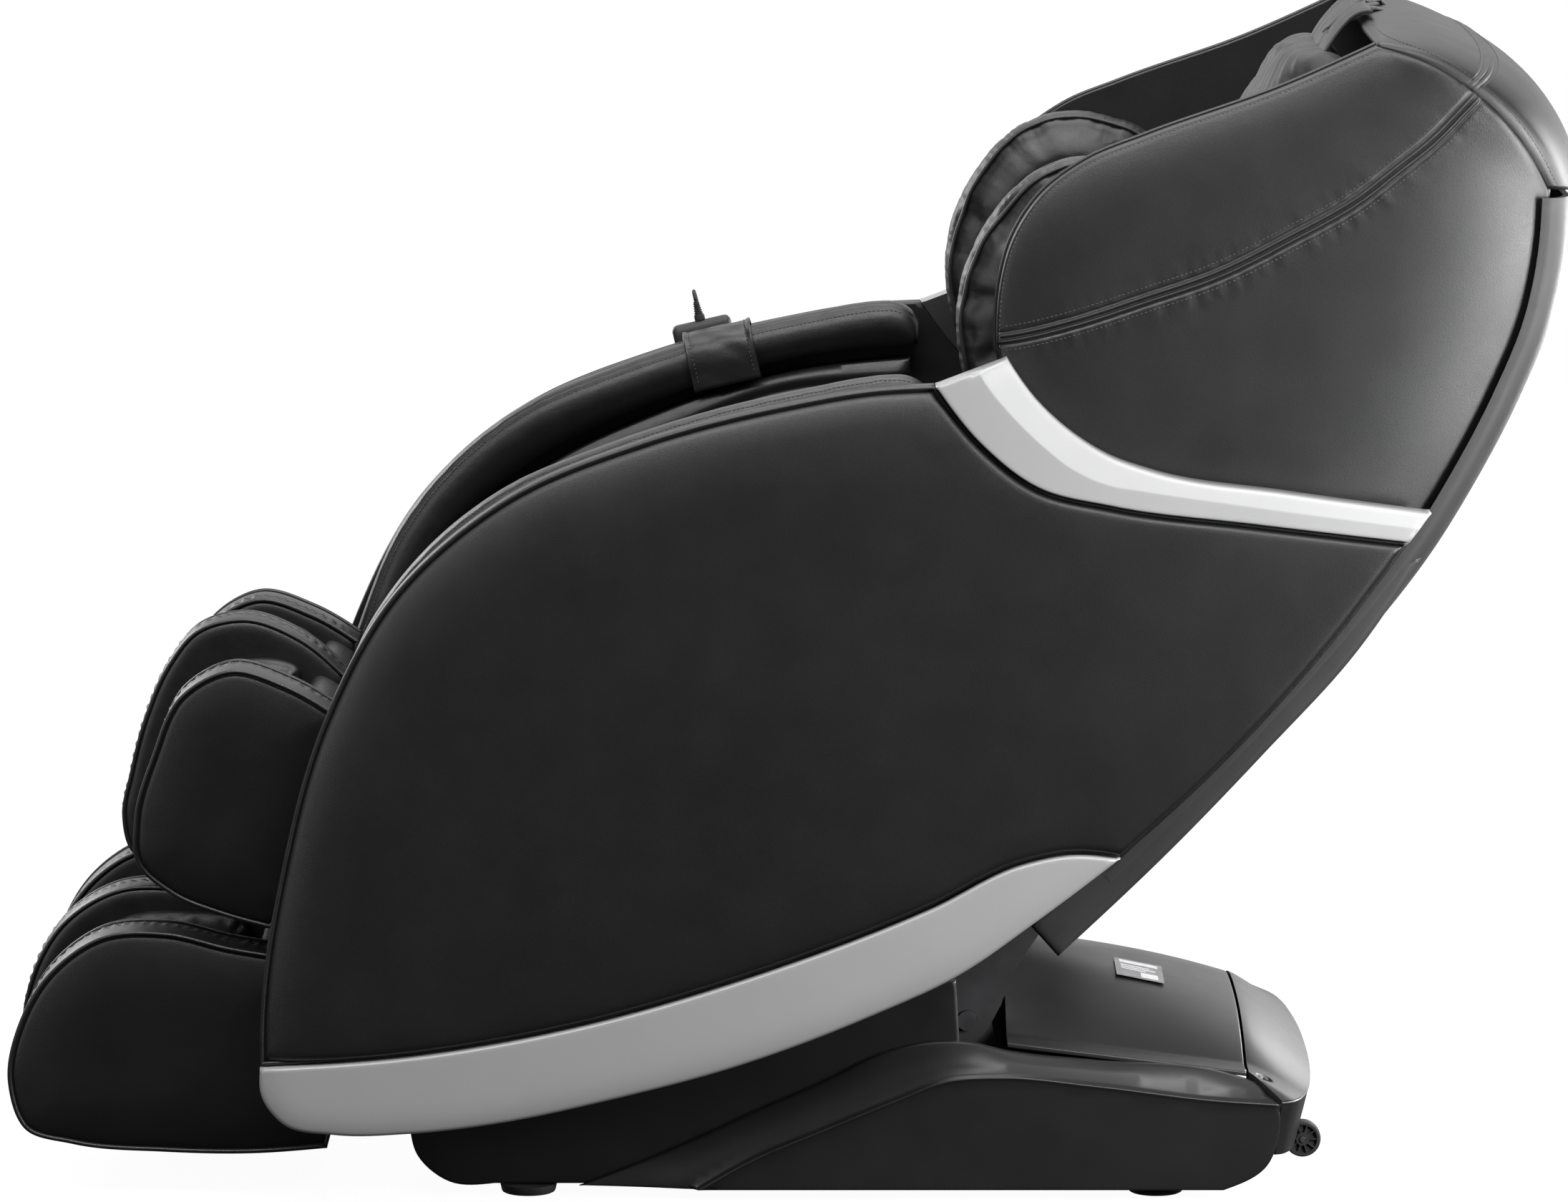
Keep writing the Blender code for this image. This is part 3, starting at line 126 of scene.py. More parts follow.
CALF_CENTRE = [(-0.454, 0.490, 0), (-0.503, 0.531), (-0.560, 0.551), (-0.612, 0.537), (-0.640, 0.503),
               (-0.664, 0.450), (-0.681, 0.388), (-0.689, 0.345), (-0.679, 0.306), (-0.640, 0.288),
               (-0.580, 0.280), (-0.526, 0.2725, 0), (-0.499, 0.292, 0)]
FOOT_OUTLINE = [(-0.500, 0.246, 0), (-0.562, 0.256), (-0.627, 0.271), (-0.690, 0.267), (-0.741, 0.233),
                (-0.776, 0.176), (-0.787, 0.118), (-0.769, 0.0675), (-0.722, 0.0530), (-0.630, 0.0450),
                (-0.540, 0.0435), (-0.466, 0.0490, 0), (-0.455, 0.090, 0)]
SHOULDER_OUTLINE = [(0.185, 0.772, 0), (0.165, 0.825), (0.157, 0.880), (0.168, 0.940), (0.196, 0.992),
                    (0.240, 1.034), (0.285, 1.048), (0.340, 1.040), (0.400, 1.010, 0), (0.395, 0.900, 0),
                    (0.330, 0.800), (0.250, 0.762)]

# ---------------------------------------------------------------- curve helpers


def run_through(points, step, closed=False):
    """Points every step or so along a smooth curve through the given ones."""
    p = np.array([q[:] for q in points], float)
    if closed:
        p = np.vstack([p[-1:], p, p[:2]])
    chord = np.maximum(np.linalg.norm(np.diff(p, axis=0), axis=1), 1e-9)
    slope = np.diff(p, axis=0) / chord[:, None]
    tangent = np.empty_like(p)
    share = (chord[1:] / (chord[:-1] + chord[1:]))[:, None]
    tangent[1:-1] = slope[:-1] * share + slope[1:] * (1.0 - share)
    tangent[0] = 1.5 * slope[0] - 0.5 * tangent[1] if len(p) > 2 else slope[0]
    tangent[-1] = 1.5 * slope[-1] - 0.5 * tangent[-2] if len(p) > 2 else slope[-1]
    first, last = (1, len(p) - 2) if closed else (0, len(p) - 1)
    fine = []
    for i in range(first, last):
        count = max(1, int(round(chord[i] / step)))
        t = (np.arange(count) / count)[:, None]
        a, b = tangent[i] * chord[i], tangent[i + 1] * chord[i]
        fine.append(p[i] * (2 * t ** 3 - 3 * t ** 2 + 1) + a * (t ** 3 - 2 * t ** 2 + t)
                    + p[i + 1] * (3 * t ** 2 - 2 * t ** 3) + b * (t ** 3 - t ** 2))
    if not closed:
        fine.append(p[-1:])
    return np.vstack(fine)


def open_line(knots, step):
    """A smooth open curve through marked places, their corner marks left aside."""
    return run_through([q[:2] for q in knots], step)


def trace(outline, step=0.005):
    """A closed outline's even points, smooth between its marked corners, going round to the left."""
    corners = [i for i, q in enumerate(outline) if len(q) == 3]
    flat = [q[:2] for q in outline]
    if not corners:
        line = run_through(flat, step, closed=True)
    else:
        order = flat[corners[0]:] + flat[:corners[0]] + [flat[corners[0]]]
        marks = [c - corners[0] for c in corners] + [len(flat)]
        runs = [run_through(order[a:b + 1], step)[:-1] for a, b in zip(marks, marks[1:])]
        line = np.vstack(runs)
    x, z = line.T
    area = np.sum(x * np.roll(z, -1) - np.roll(x, -1) * z)
    return line if area > 0 else line[::-1]


def arc_length(line):
    """The length along a line up to each of its points."""
    return np.concatenate([[0.0], np.cumsum(np.linalg.norm(np.diff(line, axis=0), axis=1))])


def evenly(line, step):
    """The polyline resampled at even spacing."""
    line = np.asarray(line, float)
    s = arc_length(line)
    at = np.linspace(0.0, s[-1], max(2, int(round(s[-1] / step)) + 1))
    return np.column_stack([np.interp(at, s, line[:, k]) for k in range(line.shape[1])])


def left_of(line, amount, closed=False):
    """The polyline moved to its left, which is inwards for a traced outline."""
    if closed:
        tangent = np.roll(line, -1, axis=0) - np.roll(line, 1, axis=0)
    else:
        tangent = np.gradient(line, axis=0)
    tangent /= np.maximum(np.linalg.norm(tangent, axis=1), 1e-9)[:, None]
    return line + np.column_stack([-tangent[:, 1], tangent[:, 0]]) * np.asarray(amount).reshape(-1, 1)


def away_from(points, line, closed=False):
    """Each point's distance to a polyline, signed distance (left is positive) and place along it."""
    a = line if closed else line[:-1]
    b = np.roll(line, -1, axis=0) if closed else line[1:]
    d = b - a
    long2 = np.maximum((d ** 2).sum(1), 1e-12)
    start = np.concatenate([[0.0], np.cumsum(np.sqrt(long2))])[:-1]
    out, sign, place = [], [], []
    for k in range(0, len(points), 3000):
        p = points[k:k + 3000]
        rx, rz = p[:, :1] - a[:, 0], p[:, 1:] - a[:, 1]
        t = np.clip((rx * d[:, 0] + rz * d[:, 1]) / long2, 0.0, 1.0)
        near = (rx - t * d[:, 0]) ** 2 + (rz - t * d[:, 1]) ** 2
        j = near.argmin(1)
        i = np.arange(len(p))
        out.append(np.sqrt(near[i, j]))
        sign.append(np.sign(d[j, 0] * rz[i, j] - d[j, 1] * rx[i, j]))
        place.append(start[j] + t[i, j] * np.sqrt(long2[j]))
    out, sign, place = map(np.concatenate, (out, sign, place))
    return out, out * sign, place


def inside(points, outline):
    """Whether each point lies inside a closed outline."""
    a, b = outline, np.roll(outline, -1, axis=0)
    hit = np.zeros(len(points), bool)
    for k in range(0, len(points), 3000):
        x, z = points[k:k + 3000, :1], points[k:k + 3000, 1:]
        spans = (a[:, 1] > z) != (b[:, 1] > z)
        cross = a[:, 0] + (z - a[:, 1]) * (b[:, 0] - a[:, 0]) / np.where(b[:, 1] == a[:, 1], 1e-12,
                                                                       b[:, 1] - a[:, 1])
        hit[k:k + 3000] = (spans & (x < cross)).sum(1) % 2 == 1
    return hit


def ease(u):
    """0 to 1 with level ends."""
    u = np.clip(u, 0.0, 1.0)
    return u * u * (3.0 - 2.0 * u)


def roll(d, width):
    """A quarter round's rise from an edge: 0 at the edge, 1 from the width on."""
    u = np.clip(d / width, 0.0, 1.0)
    return np.sqrt(np.maximum(1.0 - (1.0 - u) ** 2, 0.0))


def swell(d, width):
    """A soft rise from an edge that levels out at the width."""
    u = np.clip(d / width, 0.0, 1.0)
    return 1.0 - (1.0 - u) ** 3


def ripple(s, length, seed):
    """Uneven waves along a seam, about 1 high."""
    draw = np.random.default_rng(seed)
    total = np.zeros_like(s)
    for _ in range(5):
        total += np.sin(2 * math.pi * s / (length * draw.uniform(0.6, 1.7)) + draw.uniform(0, 6.3))
    return total / 3.0


# ---------------------------------------------------------------- mesh helpers


def linked(name, data):
    """A new object of some data, put in the scene."""
    obj = bpy.data.objects.new(name, data)
    scene.collection.objects.link(obj)
    return obj


def make(name, verts, faces, material, sharp=None):
    """A mesh object from points and faces, closed and facing out, shaded smooth."""
    mesh = bpy.data.meshes.new(name)
    mesh.from_pydata(np.asarray(verts).tolist(), [], faces if isinstance(faces, list) else faces.tolist())
    bm = bmesh.new()
    bm.from_mesh(mesh)
    bmesh.ops.recalc_face_normals(bm, faces=bm.faces)
    bm.to_mesh(mesh)
    bm.free()
    mesh.shade_smooth()
    if sharp is not None:
        mesh.set_sharp_from_angle(angle=math.radians(sharp))
    mesh.materials.append(material)
    return linked(name, mesh)


def place(obj, body, slot, stands_for=(), fill=None):
    """Ride a body and stand for CAD nodes, whose parts it hides; the finish slot (slot) and how full a padded
    piece is (fill) are not used.
    """
    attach(obj, body)
    if stands_for:
        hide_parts(*stands_for)
    return obj


def joined(name, parts):
    """Several meshes as one object."""
    verts, faces, slots, materials = [], [], [], []
    for part in parts:
        base = len(verts)
        verts += [v.co[:] for v in part.data.vertices]
        faces += [[base + i for i in f.vertices] for f in part.data.polygons]
        material = part.data.materials[0]
        if material not in materials:
            materials.append(material)
        slots += [materials.index(material)] * len(part.data.polygons)
    mesh = bpy.data.meshes.new(name)
    mesh.from_pydata(verts, [], faces)
    for material in materials:
        mesh.materials.append(material)
    mesh.polygons.foreach_set("material_index", slots)
    sharp = [e.use_edge_sharp for part in parts for e in part.data.edges]
    mesh.shade_smooth()
    if any(sharp):
        mesh.set_sharp_from_angle(angle=math.radians(40))
    for part in parts:
        bpy.data.objects.remove(part, do_unlink=True)
    return linked(name, mesh)


INSETS = (0.0012, 0.0028, 0.005, 0.008, 0.012, 0.017, 0.024, 0.033)


def fill_outline(outline, spacing, lines=(), insets=INSETS):
    """Triangles that fill a closed outline, finer along its edge and along feature lines."""
    sets = [outline]
    last = insets[-1]
    for k, inset in enumerate(insets):
        ring = left_of(outline, inset, closed=True)[::1 if k < 4 else 2]
        ring = ring[inside(ring, outline)]
        d = away_from(ring, outline, closed=True)[0]
        sets.append(ring[d > inset * 0.92])
    low, high = outline.min(0), outline.max(0)
    nx, nz = ((high - low) / spacing).astype(int) + 2
    gx, gz = np.meshgrid(np.arange(nx), np.arange(nz))
    grid = np.column_stack([(gx + 0.5 * (gz % 2)).ravel() * spacing, gz.ravel() * spacing * 0.8660]) + low
    grid = grid[inside(grid, outline)]
    grid = grid[away_from(grid, outline, closed=True)[0] > last + spacing * 0.45]
    for line, offsets, step in lines:
        fine = evenly(line, step)
        reach = max(abs(o) for o in offsets) + spacing * 0.5
        for k in range(1, len(sets)):
            keep = away_from(sets[k], fine)[0] > reach
            sets[k] = sets[k][keep]
        grid = grid[away_from(grid, fine)[0] > reach]
        for offset in offsets:
            row = left_of(fine, offset)
            row = row[inside(row, outline)]
            if len(row):
                sets.append(row[away_from(row, outline, closed=True)[0] > 0.0012])
    points = np.vstack([*sets, grid])
    n = len(outline)
    edges = [(i, (i + 1) % n) for i in range(n)]
    result = delaunay_2d_cdt([Vector(p) for p in points], edges, [list(range(n))], 1, 1e-6, True)
    verts = np.array([v[:] for v in result[0]])
    home = [(o[0] if o else -1) for o in result[3]]
    rim_of = {h: i for i, h in enumerate(home) if 0 <= h < n}
    rim = [rim_of[i] for i in range(n) if i in rim_of]
    tris = np.array([f for f in result[2] if len(f) == 3])
    tris = tris[inside(verts[tris].mean(1), outline)]
    return verts, tris, rim


def pad(name, outline, side, y_edge, y_back, rise, material, lines=(), spacing=0.010, insets=INSETS,
        back_rise=None, band=0, bulge=0.0):
    """A closed plate of an outline. Its outer face stands at y_edge + rise(points, edge distance).

    back_rise does the same for the inner face. The edge band between them has band rows, and
    stands out by bulge at its middle.
    """
    flat, tris, rim = fill_outline(outline, spacing, lines, insets)
    d = away_from(flat, outline, closed=True)[0]
    d[rim] = 0.0
    front = y_edge + rise(flat, d)
    back = np.full(len(flat), y_back) if back_rise is None else y_back - back_rise(flat, d)
    n = len(flat)
    verts = [np.column_stack([flat[:, 0], MID + side * front, flat[:, 1]]),
             np.column_stack([flat[:, 0], MID + side * back, flat[:, 1]])]
    edge, m = flat[rim], len(rim)
    rows = [np.array(rim)]
    for k in range(band):
        t = (k + 1) / (band + 1)
        level = front[rim] * (1 - t) + back[rim] * t
        out = left_of(edge, -bulge * (4 * t * (1 - t)) ** 0.6, closed=True)
        verts.append(np.column_stack([out[:, 0], MID + side * level, out[:, 1]]))
        rows.append(2 * n + k * m + np.arange(m))
    rows.append(np.array(rim) + n)
    faces = tris.tolist() + (tris[:, ::-1] + n).tolist()
    for a, b in zip(rows, rows[1:]):
        faces += np.column_stack([a, np.roll(a, -1), np.roll(b, -1), b]).tolist()
    return make(name, np.vstack(verts), faces, material)


def bolster(name, outline, y_low, y_high, radius, material, rows=24, shape=None):
    """An outline carried across in y, rounded over at both ends; shape(points) may move its points."""
    turn = np.linspace(0.0, math.pi / 2, 7)[:-1]
    lead = radius * (1 - np.cos(turn))
    inset = np.concatenate([radius * (1 - np.sin(turn)), np.zeros(rows), (radius * (1 - np.sin(turn)))[::-1]])
    y = np.concatenate([y_low + lead, np.linspace(y_low + radius, y_high - radius, rows),
                        (y_high - lead)[::-1]])
    rings = np.array([in_plane(left_of(outline, i + 0.0004, closed=True), v) for i, v in zip(inset, y)])
    if shape is not None:
        rings = shape(rings.reshape(-1, 3)).reshape(rings.shape)
    return loft(name, rings, material)


def sweep(name, path, section, material, across=(0.0, 1.0, 0.0), closed=False, sharp=None):
    """A closed solid with a section, or one per place, of (out, over) points carried along a path."""
    path = np.asarray(path, float)
    across = np.asarray(across, float)
    if closed:
        tangent = np.roll(path, -1, axis=0) - np.roll(path, 1, axis=0)
    else:
        tangent = np.gradient(path, axis=0)
    tangent /= np.linalg.norm(tangent, axis=1)[:, None]
    out = np.cross(tangent, across)
    out /= np.maximum(np.linalg.norm(out, axis=1), 1e-9)[:, None]
    over = np.cross(out, tangent)
    section = np.asarray(section, float)
    if section.ndim == 2:
        section = np.broadcast_to(section, (len(path), *section.shape))
    verts = path[:, None, :] + section[..., :1] * out[:, None, :] + section[..., 1:] * over[:, None, :]
    return loft(name, verts, material, closed, sharp)


def loft(name, rings, material, closed=False, sharp=None):
    """A closed solid through rings of points, capped at both ends unless it closes on itself."""
    k, n = rings.shape[:2]
    index = np.arange(k * n).reshape(k, n)
    nxt = np.roll(index, -1, axis=1)
    rows = range(k) if closed else range(k - 1)
    faces = []
    for i in rows:
        j = (i + 1) % k
        faces += np.column_stack([index[i], nxt[i], nxt[j], index[j]]).tolist()
    if not closed:
        faces += [index[0][::-1].tolist(), index[-1].tolist()]
    return make(name, rings.reshape(-1, 3), faces, material, sharp)


def circle(radius, sides=8, flat=1.0):
    """Points round a circle, squashed along its first axis by flat."""
    a = np.arange(sides) / sides * 2 * math.pi
    return np.column_stack([radius * np.cos(a) * flat, radius * np.sin(a)])


def in_plane(line, y):
    """(x, z) points as places at a y from the mid-plane."""
    return np.column_stack([line[:, 0], np.broadcast_to(MID + np.asarray(y), len(line)), line[:, 1]])


def tree_of(obj):
    """A search tree of a mesh, for laying points on its surface."""
    mesh = obj.data
    return BVHTree.FromPolygons([v.co for v in mesh.vertices], [p.vertices for p in mesh.polygons])


def on_surface(tree, points, direction):
    """Where rays from the points meet a surface, and its normals there."""
    ray = Vector(direction)
    places, normals = [], []
    for p in points:
        hit, normal, _, _ = tree.ray_cast(Vector(p), ray)
        if hit is not None:
            places.append(hit[:])
            normals.append((normal if normal.dot(ray) < 0 else -normal)[:])
    return np.array(places), np.array(normals)


def stitches(name, path, normals, material, pitch=0.0046, length=0.0031, radius=0.00042, lift=0.0002):
    """A row of single stitches lying on a surface along a path."""
    s = arc_length(path)
    at = np.arange(pitch / 2, s[-1], pitch)
    centre = np.column_stack([np.interp(at, s, path[:, k]) for k in range(3)])
    normal = np.column_stack([np.interp(at, s, normals[:, k]) for k in range(3)])
    ahead = np.column_stack([np.interp(at + 0.001, s, path[:, k]) for k in range(3)])
    behind = np.column_stack([np.interp(at - 0.001, s, path[:, k]) for k in range(3)])
    along = ahead - behind
    along /= np.maximum(np.linalg.norm(along, axis=1), 1e-9)[:, None]
    normal -= along * (normal * along).sum(1)[:, None]
    normal /= np.maximum(np.linalg.norm(normal, axis=1), 1e-9)[:, None]
    over = np.cross(along, normal)
    stations = np.array([(-0.5, 0.35, -0.6), (-0.28, 1.0, 0.3), (0.28, 1.0, 0.3), (0.5, 0.35, -0.6)])
    ring = circle(1.0, 6)
    shape = np.array([[(t * length, h * radius + b * wide * radius, a * wide * radius) for a, b in ring]
                      for t, wide, h in stations])
    verts = (centre[:, None, None, :] + shape[None, ..., :1] * along[:, None, None, :]
             + (shape[None, ..., 1:2] + lift) * normal[:, None, None, :]
             + shape[None, ..., 2:] * over[:, None, None, :])
    unit = []
    for i in range(3):
        unit += [[6 * i + j, 6 * i + (j + 1) % 6, 6 * i + 6 + (j + 1) % 6, 6 * i + 6 + j] for j in range(6)]
    unit += [[5, 4, 3, 2, 1, 0], [18, 19, 20, 21, 22, 23]]
    faces = [[24 * k + i for i in f] for k in range(len(at)) for f in unit]
    return make(name, verts.reshape(-1, 3), faces, material)


CLOTH_FRAMES = 20


def inflate(obj, pressure, cap, voxel):
    """Swell a closed mesh by cloth simulation, with each point's move capped, then smooth it once more."""
    remesh = obj.modifiers.new("remesh", "REMESH")
    remesh.mode = "VOXEL"
    remesh.voxel_size = voxel
    bake_down(obj)
    start = np.array([v.co for v in obj.data.vertices])
    cloth = obj.modifiers.new("cloth", "CLOTH")
    cloth.settings.use_pressure = True
    cloth.settings.uniform_pressure_force = pressure
    cloth.settings.quality = 5
    cloth.settings.mass = 0.3
    cloth.settings.tension_stiffness = 15
    cloth.settings.compression_stiffness = 15
    cloth.settings.shear_stiffness = 5
    cloth.settings.bending_stiffness = 0.5
    cloth.settings.effector_weights.gravity = 0.0
    cloth.point_cache.frame_start = 1
    cloth.point_cache.frame_end = CLOTH_FRAMES
    for f in range(1, CLOTH_FRAMES + 1):
        scene.frame_set(f)
    bake_down(obj)
    scene.frame_set(1)
    shift = np.array([v.co for v in obj.data.vertices]) - start
    size = np.linalg.norm(shift, axis=1)
    over = 1 + 0.15 * np.tanh((size - cap) / cap)
    scale = np.where(size > cap, cap / np.maximum(size, 1e-9) * over, 1.0)
    obj.data.vertices.foreach_set("co", (start + shift * scale[:, None]).astype(np.float32).ravel())
    smooth = obj.modifiers.new("smooth", "SMOOTH")
    smooth.iterations = 3
    fine = obj.modifiers.new("fine", "SUBSURF")
    fine.levels = fine.render_levels = 1
    bake_down(obj)
    obj.data.shade_smooth()


def bake_down(obj):
    """Turn the modifiers' result into the object's own mesh."""
    graph = bpy.context.evaluated_depsgraph_get()
    graph.update()
    mesh = bpy.data.meshes.new_from_object(obj.evaluated_get(graph))
    old = obj.data
    obj.modifiers.clear()
    obj.data = mesh
    mesh.name = obj.name
    bpy.data.meshes.remove(old)


def mirrored(obj, name):
    """The same piece on the chair's other side."""
    mesh = obj.data.copy()
    co = np.array([v.co for v in mesh.vertices])
    co[:, 1] = 2 * MID - co[:, 1]
    mesh.vertices.foreach_set("co", co.astype(np.float32).ravel())
    mesh.flip_normals()
    return linked(name, mesh)


def wrinkle(obj, outline, length, height, reach, seed):
    """Uneven puckers that run in from a sewn edge and fade with the distance from it."""
    mesh = obj.data
    co = np.array([v.co for v in mesh.vertices])
    normal = np.array([v.normal for v in mesh.vertices])
    d, _, s = away_from(co[:, ::2], outline, closed=True)
    lift = height * ripple(s, length, seed) * np.exp(-d / reach) * np.clip(d / (0.15 * reach), 0.0, 1.0)
    mesh.vertices.foreach_set("co", (co + normal * lift[:, None]).astype(np.float32).ravel())
    mesh.update()

# ---------------------------------------------------------------- materials


def surface(name, dark, light, rough, metallic=0.0, specular=0.5, bumps=(), blotch=14.0, coat=0.0,
            coat_rough=0.2, sheen=0.0, speckle=0.0):
    """A painted, moulded or upholstered finish: two close tones, uneven gloss and fine relief.

    bumps holds (texture, cells per metre, height in metres) from coarse to fine.
    """
    material = bpy.data.materials.new(name)
    material.use_nodes = True
    tree = material.node_tree
    shader = tree.nodes["Principled BSDF"]
    spot = tree.nodes.new("ShaderNodeTexCoord").outputs["Object"]

    def noise(scale, detail=4.0, roughness=0.55):
        node = tree.nodes.new("ShaderNodeTexNoise")
        node.inputs["Scale"].default_value = scale
        node.inputs["Detail"].default_value = detail
        node.inputs["Roughness"].default_value = roughness
        tree.links.new(spot, node.inputs["Vector"])
        return node.outputs["Fac"]

    def ranged(source, low, high):
        node = tree.nodes.new("ShaderNodeMapRange")
        node.inputs["From Min"].default_value = 0.3
        node.inputs["From Max"].default_value = 0.7
        node.inputs["To Min"].default_value = low
        node.inputs["To Max"].default_value = high
        tree.links.new(source, node.inputs["Value"])
        return node.outputs["Result"]

    tone = noise(blotch)
    if speckle:
        fleck = noise(1400.0, 2.0)
        both = tree.nodes.new("ShaderNodeMix")
        both.data_type = "FLOAT"
        both.inputs["Factor"].default_value = speckle
        tree.links.new(tone, both.inputs["A"])
        tree.links.new(fleck, both.inputs["B"])
        tone = both.outputs["Result"]
    mix = tree.nodes.new("ShaderNodeMix")
    mix.data_type = "RGBA"
    mix.inputs["A"].default_value = (*dark, 1.0)
    mix.inputs["B"].default_value = (*light, 1.0)
    tree.links.new(ranged(tone, 0.0, 1.0), mix.inputs["Factor"])
    tree.links.new(mix.outputs["Result"], shader.inputs["Base Color"])
    tree.links.new(ranged(noise(blotch * 2.7, 5.0), *rough), shader.inputs["Roughness"])
    shader.inputs["Metallic"].default_value = metallic
    shader.inputs["Specular IOR Level"].default_value = specular
    shader.inputs["Coat Weight"].default_value = coat
    shader.inputs["Coat Roughness"].default_value = coat_rough
    shader.inputs["Sheen Weight"].default_value = sheen
    shader.inputs["Sheen Roughness"].default_value = 0.4
    relief = None
    for kind, scale, height in bumps:
        bump = tree.nodes.new("ShaderNodeBump")
        bump.inputs["Distance"].default_value = height
        bump.inputs["Strength"].default_value = 1.0
        if kind == "cells":
            cell = tree.nodes.new("ShaderNodeTexVoronoi")
            cell.feature = "DISTANCE_TO_EDGE"
            cell.inputs["Scale"].default_value = scale
            tree.links.new(spot, cell.inputs["Vector"])
            level = tree.nodes.new("ShaderNodeMapRange")
            level.inputs["From Max"].default_value = 0.22
            tree.links.new(cell.outputs["Distance"], level.inputs["Value"])
            tree.links.new(level.outputs["Result"], bump.inputs["Height"])
        elif kind == "brushed":
            stretch = tree.nodes.new("ShaderNodeMapping")
            stretch.inputs["Scale"].default_value = (0.05, 1.0, 1.0)
            tree.links.new(spot, stretch.inputs["Vector"])
            grain = tree.nodes.new("ShaderNodeTexNoise")
            grain.inputs["Scale"].default_value = scale
            tree.links.new(stretch.outputs["Vector"], grain.inputs["Vector"])
            tree.links.new(grain.outputs["Fac"], bump.inputs["Height"])
        else:
            tree.links.new(noise(scale, 3.0), bump.inputs["Height"])
        if relief:
            tree.links.new(relief, bump.inputs["Normal"])
        relief = bump.outputs["Normal"]
    if relief:
        tree.links.new(relief, shader.inputs["Normal"])
    return material


LEATHER_RELIEF = (("cells", 620.0, 0.00005), ("noise", 1500.0, 0.00002))
leather = surface("leather", (0.0058, 0.0058, 0.0060), (0.0072, 0.0072, 0.0075), (0.38, 0.43),
                  specular=0.50, bumps=LEATHER_RELIEF, blotch=7.0)
soft_leather = surface("soft_leather", (0.0052, 0.0052, 0.0054), (0.0072, 0.0072, 0.0075), (0.36, 0.43),
                       specular=0.50, bumps=(("noise", 60.0, 0.0003), *LEATHER_RELIEF), blotch=14.0)
pillow_leather = surface("pillow_leather", (0.013, 0.013, 0.0135), (0.022, 0.022, 0.023), (0.46, 0.58),
                         specular=0.40, sheen=0.10,
                         bumps=(("noise", 30.0, 0.0009), ("cells", 900.0, 0.00006)), blotch=20.0)
piping_leather = surface("piping_leather", (0.0075, 0.0075, 0.0078), (0.0115, 0.0115, 0.0120), (0.30, 0.40),
                         specular=0.5, bumps=(("cells", 800.0, 0.00005),), blotch=30.0)
thread = surface("thread", (0.030, 0.030, 0.031), (0.065, 0.065, 0.068), (0.55, 0.70), specular=0.4,
                 bumps=(("noise", 2600.0, 0.00008),), blotch=220.0)
silver = surface("silver", (0.295, 0.295, 0.297), (0.320, 0.320, 0.323), (0.36, 0.42), metallic=0.15,
                 specular=0.4, coat=0.10, coat_rough=0.25, blotch=6.0, speckle=0.35,
                 bumps=(("noise", 1800.0, 0.000012),))
shell_plastic = surface("shell_plastic", (0.020, 0.020, 0.0205), (0.027, 0.027, 0.0275), (0.52, 0.62),
                        specular=0.42, bumps=(("cells", 1100.0, 0.00004),), blotch=8.0)
base_plastic = surface("base_plastic", (0.0080, 0.0080, 0.0082), (0.0100, 0.0100, 0.0103), (0.34, 0.40),
                       specular=0.55, bumps=(("noise", 900.0, 0.000008),), blotch=7.0)
textured_plastic = surface("textured_plastic", (0.0120, 0.0120, 0.0123), (0.0165, 0.0165, 0.0170),
                           (0.42, 0.54), specular=0.45,
                           bumps=(("cells", 1000.0, 0.00004),), blotch=9.0)
steel = surface("powder_coat", (0.030, 0.030, 0.032), (0.046, 0.046, 0.049), (0.40, 0.52), metallic=0.2,
                bumps=(("noise", 900.0, 0.00006),), blotch=25.0)
zinc = surface("zinc", (0.42, 0.42, 0.44), (0.56, 0.56, 0.58), (0.26, 0.40), metallic=0.95,
               bumps=(("brushed", 900.0, 0.00003),), blotch=40.0)
rubber = surface("rubber", (0.012, 0.012, 0.012), (0.020, 0.020, 0.020), (0.62, 0.78), specular=0.35,
                 bumps=(("noise", 700.0, 0.00007),), blotch=60.0)
glass = surface("display_glass", (0.004, 0.005, 0.006), (0.007, 0.008, 0.010), (0.05, 0.09), specular=0.6,
                coat=0.6, coat_rough=0.03, blotch=12.0)
foil = surface("label_foil", (0.17, 0.17, 0.175), (0.24, 0.24, 0.245), (0.38, 0.50), metallic=0.4,
               bumps=(("brushed", 1200.0, 0.00002),), blotch=90.0)
foil_print = surface("label_print", (0.42, 0.42, 0.43), (0.52, 0.52, 0.53), (0.5, 0.6), blotch=200.0,
                     bumps=(("noise", 1500.0, 0.00001),))

FINISH = {"black_leather": leather, "pillow_leather": pillow_leather, "silver_satin": silver,
          "shell_plastic": shell_plastic, "base_plastic": base_plastic, "dark_steel": steel,
          "zinc_steel": zinc, "black_rubber": rubber, "display_glass": glass, "label_foil": foil}
for part in frame["record"]["subparts"]:
    node = frame["nodes"][part["node"]]
    for slot_index in range(len(node.material_slots)):
        node.material_slots[slot_index].material = FINISH[part["material_slot"]]

# ---------------------------------------------------------------- stage and light


def softbox(name, where, aim, size, power):
    """A white rectangular lamp at a place, facing another."""
    light = bpy.data.lights.new(name, "AREA")
    light.shape = "RECTANGLE"
    light.size, light.size_y = size
    light.energy = power
    obj = linked(name, light)
    obj.location = where
    obj.rotation_euler = (Vector(aim) - Vector(where)).to_track_quat("-Z", "Y").to_euler()


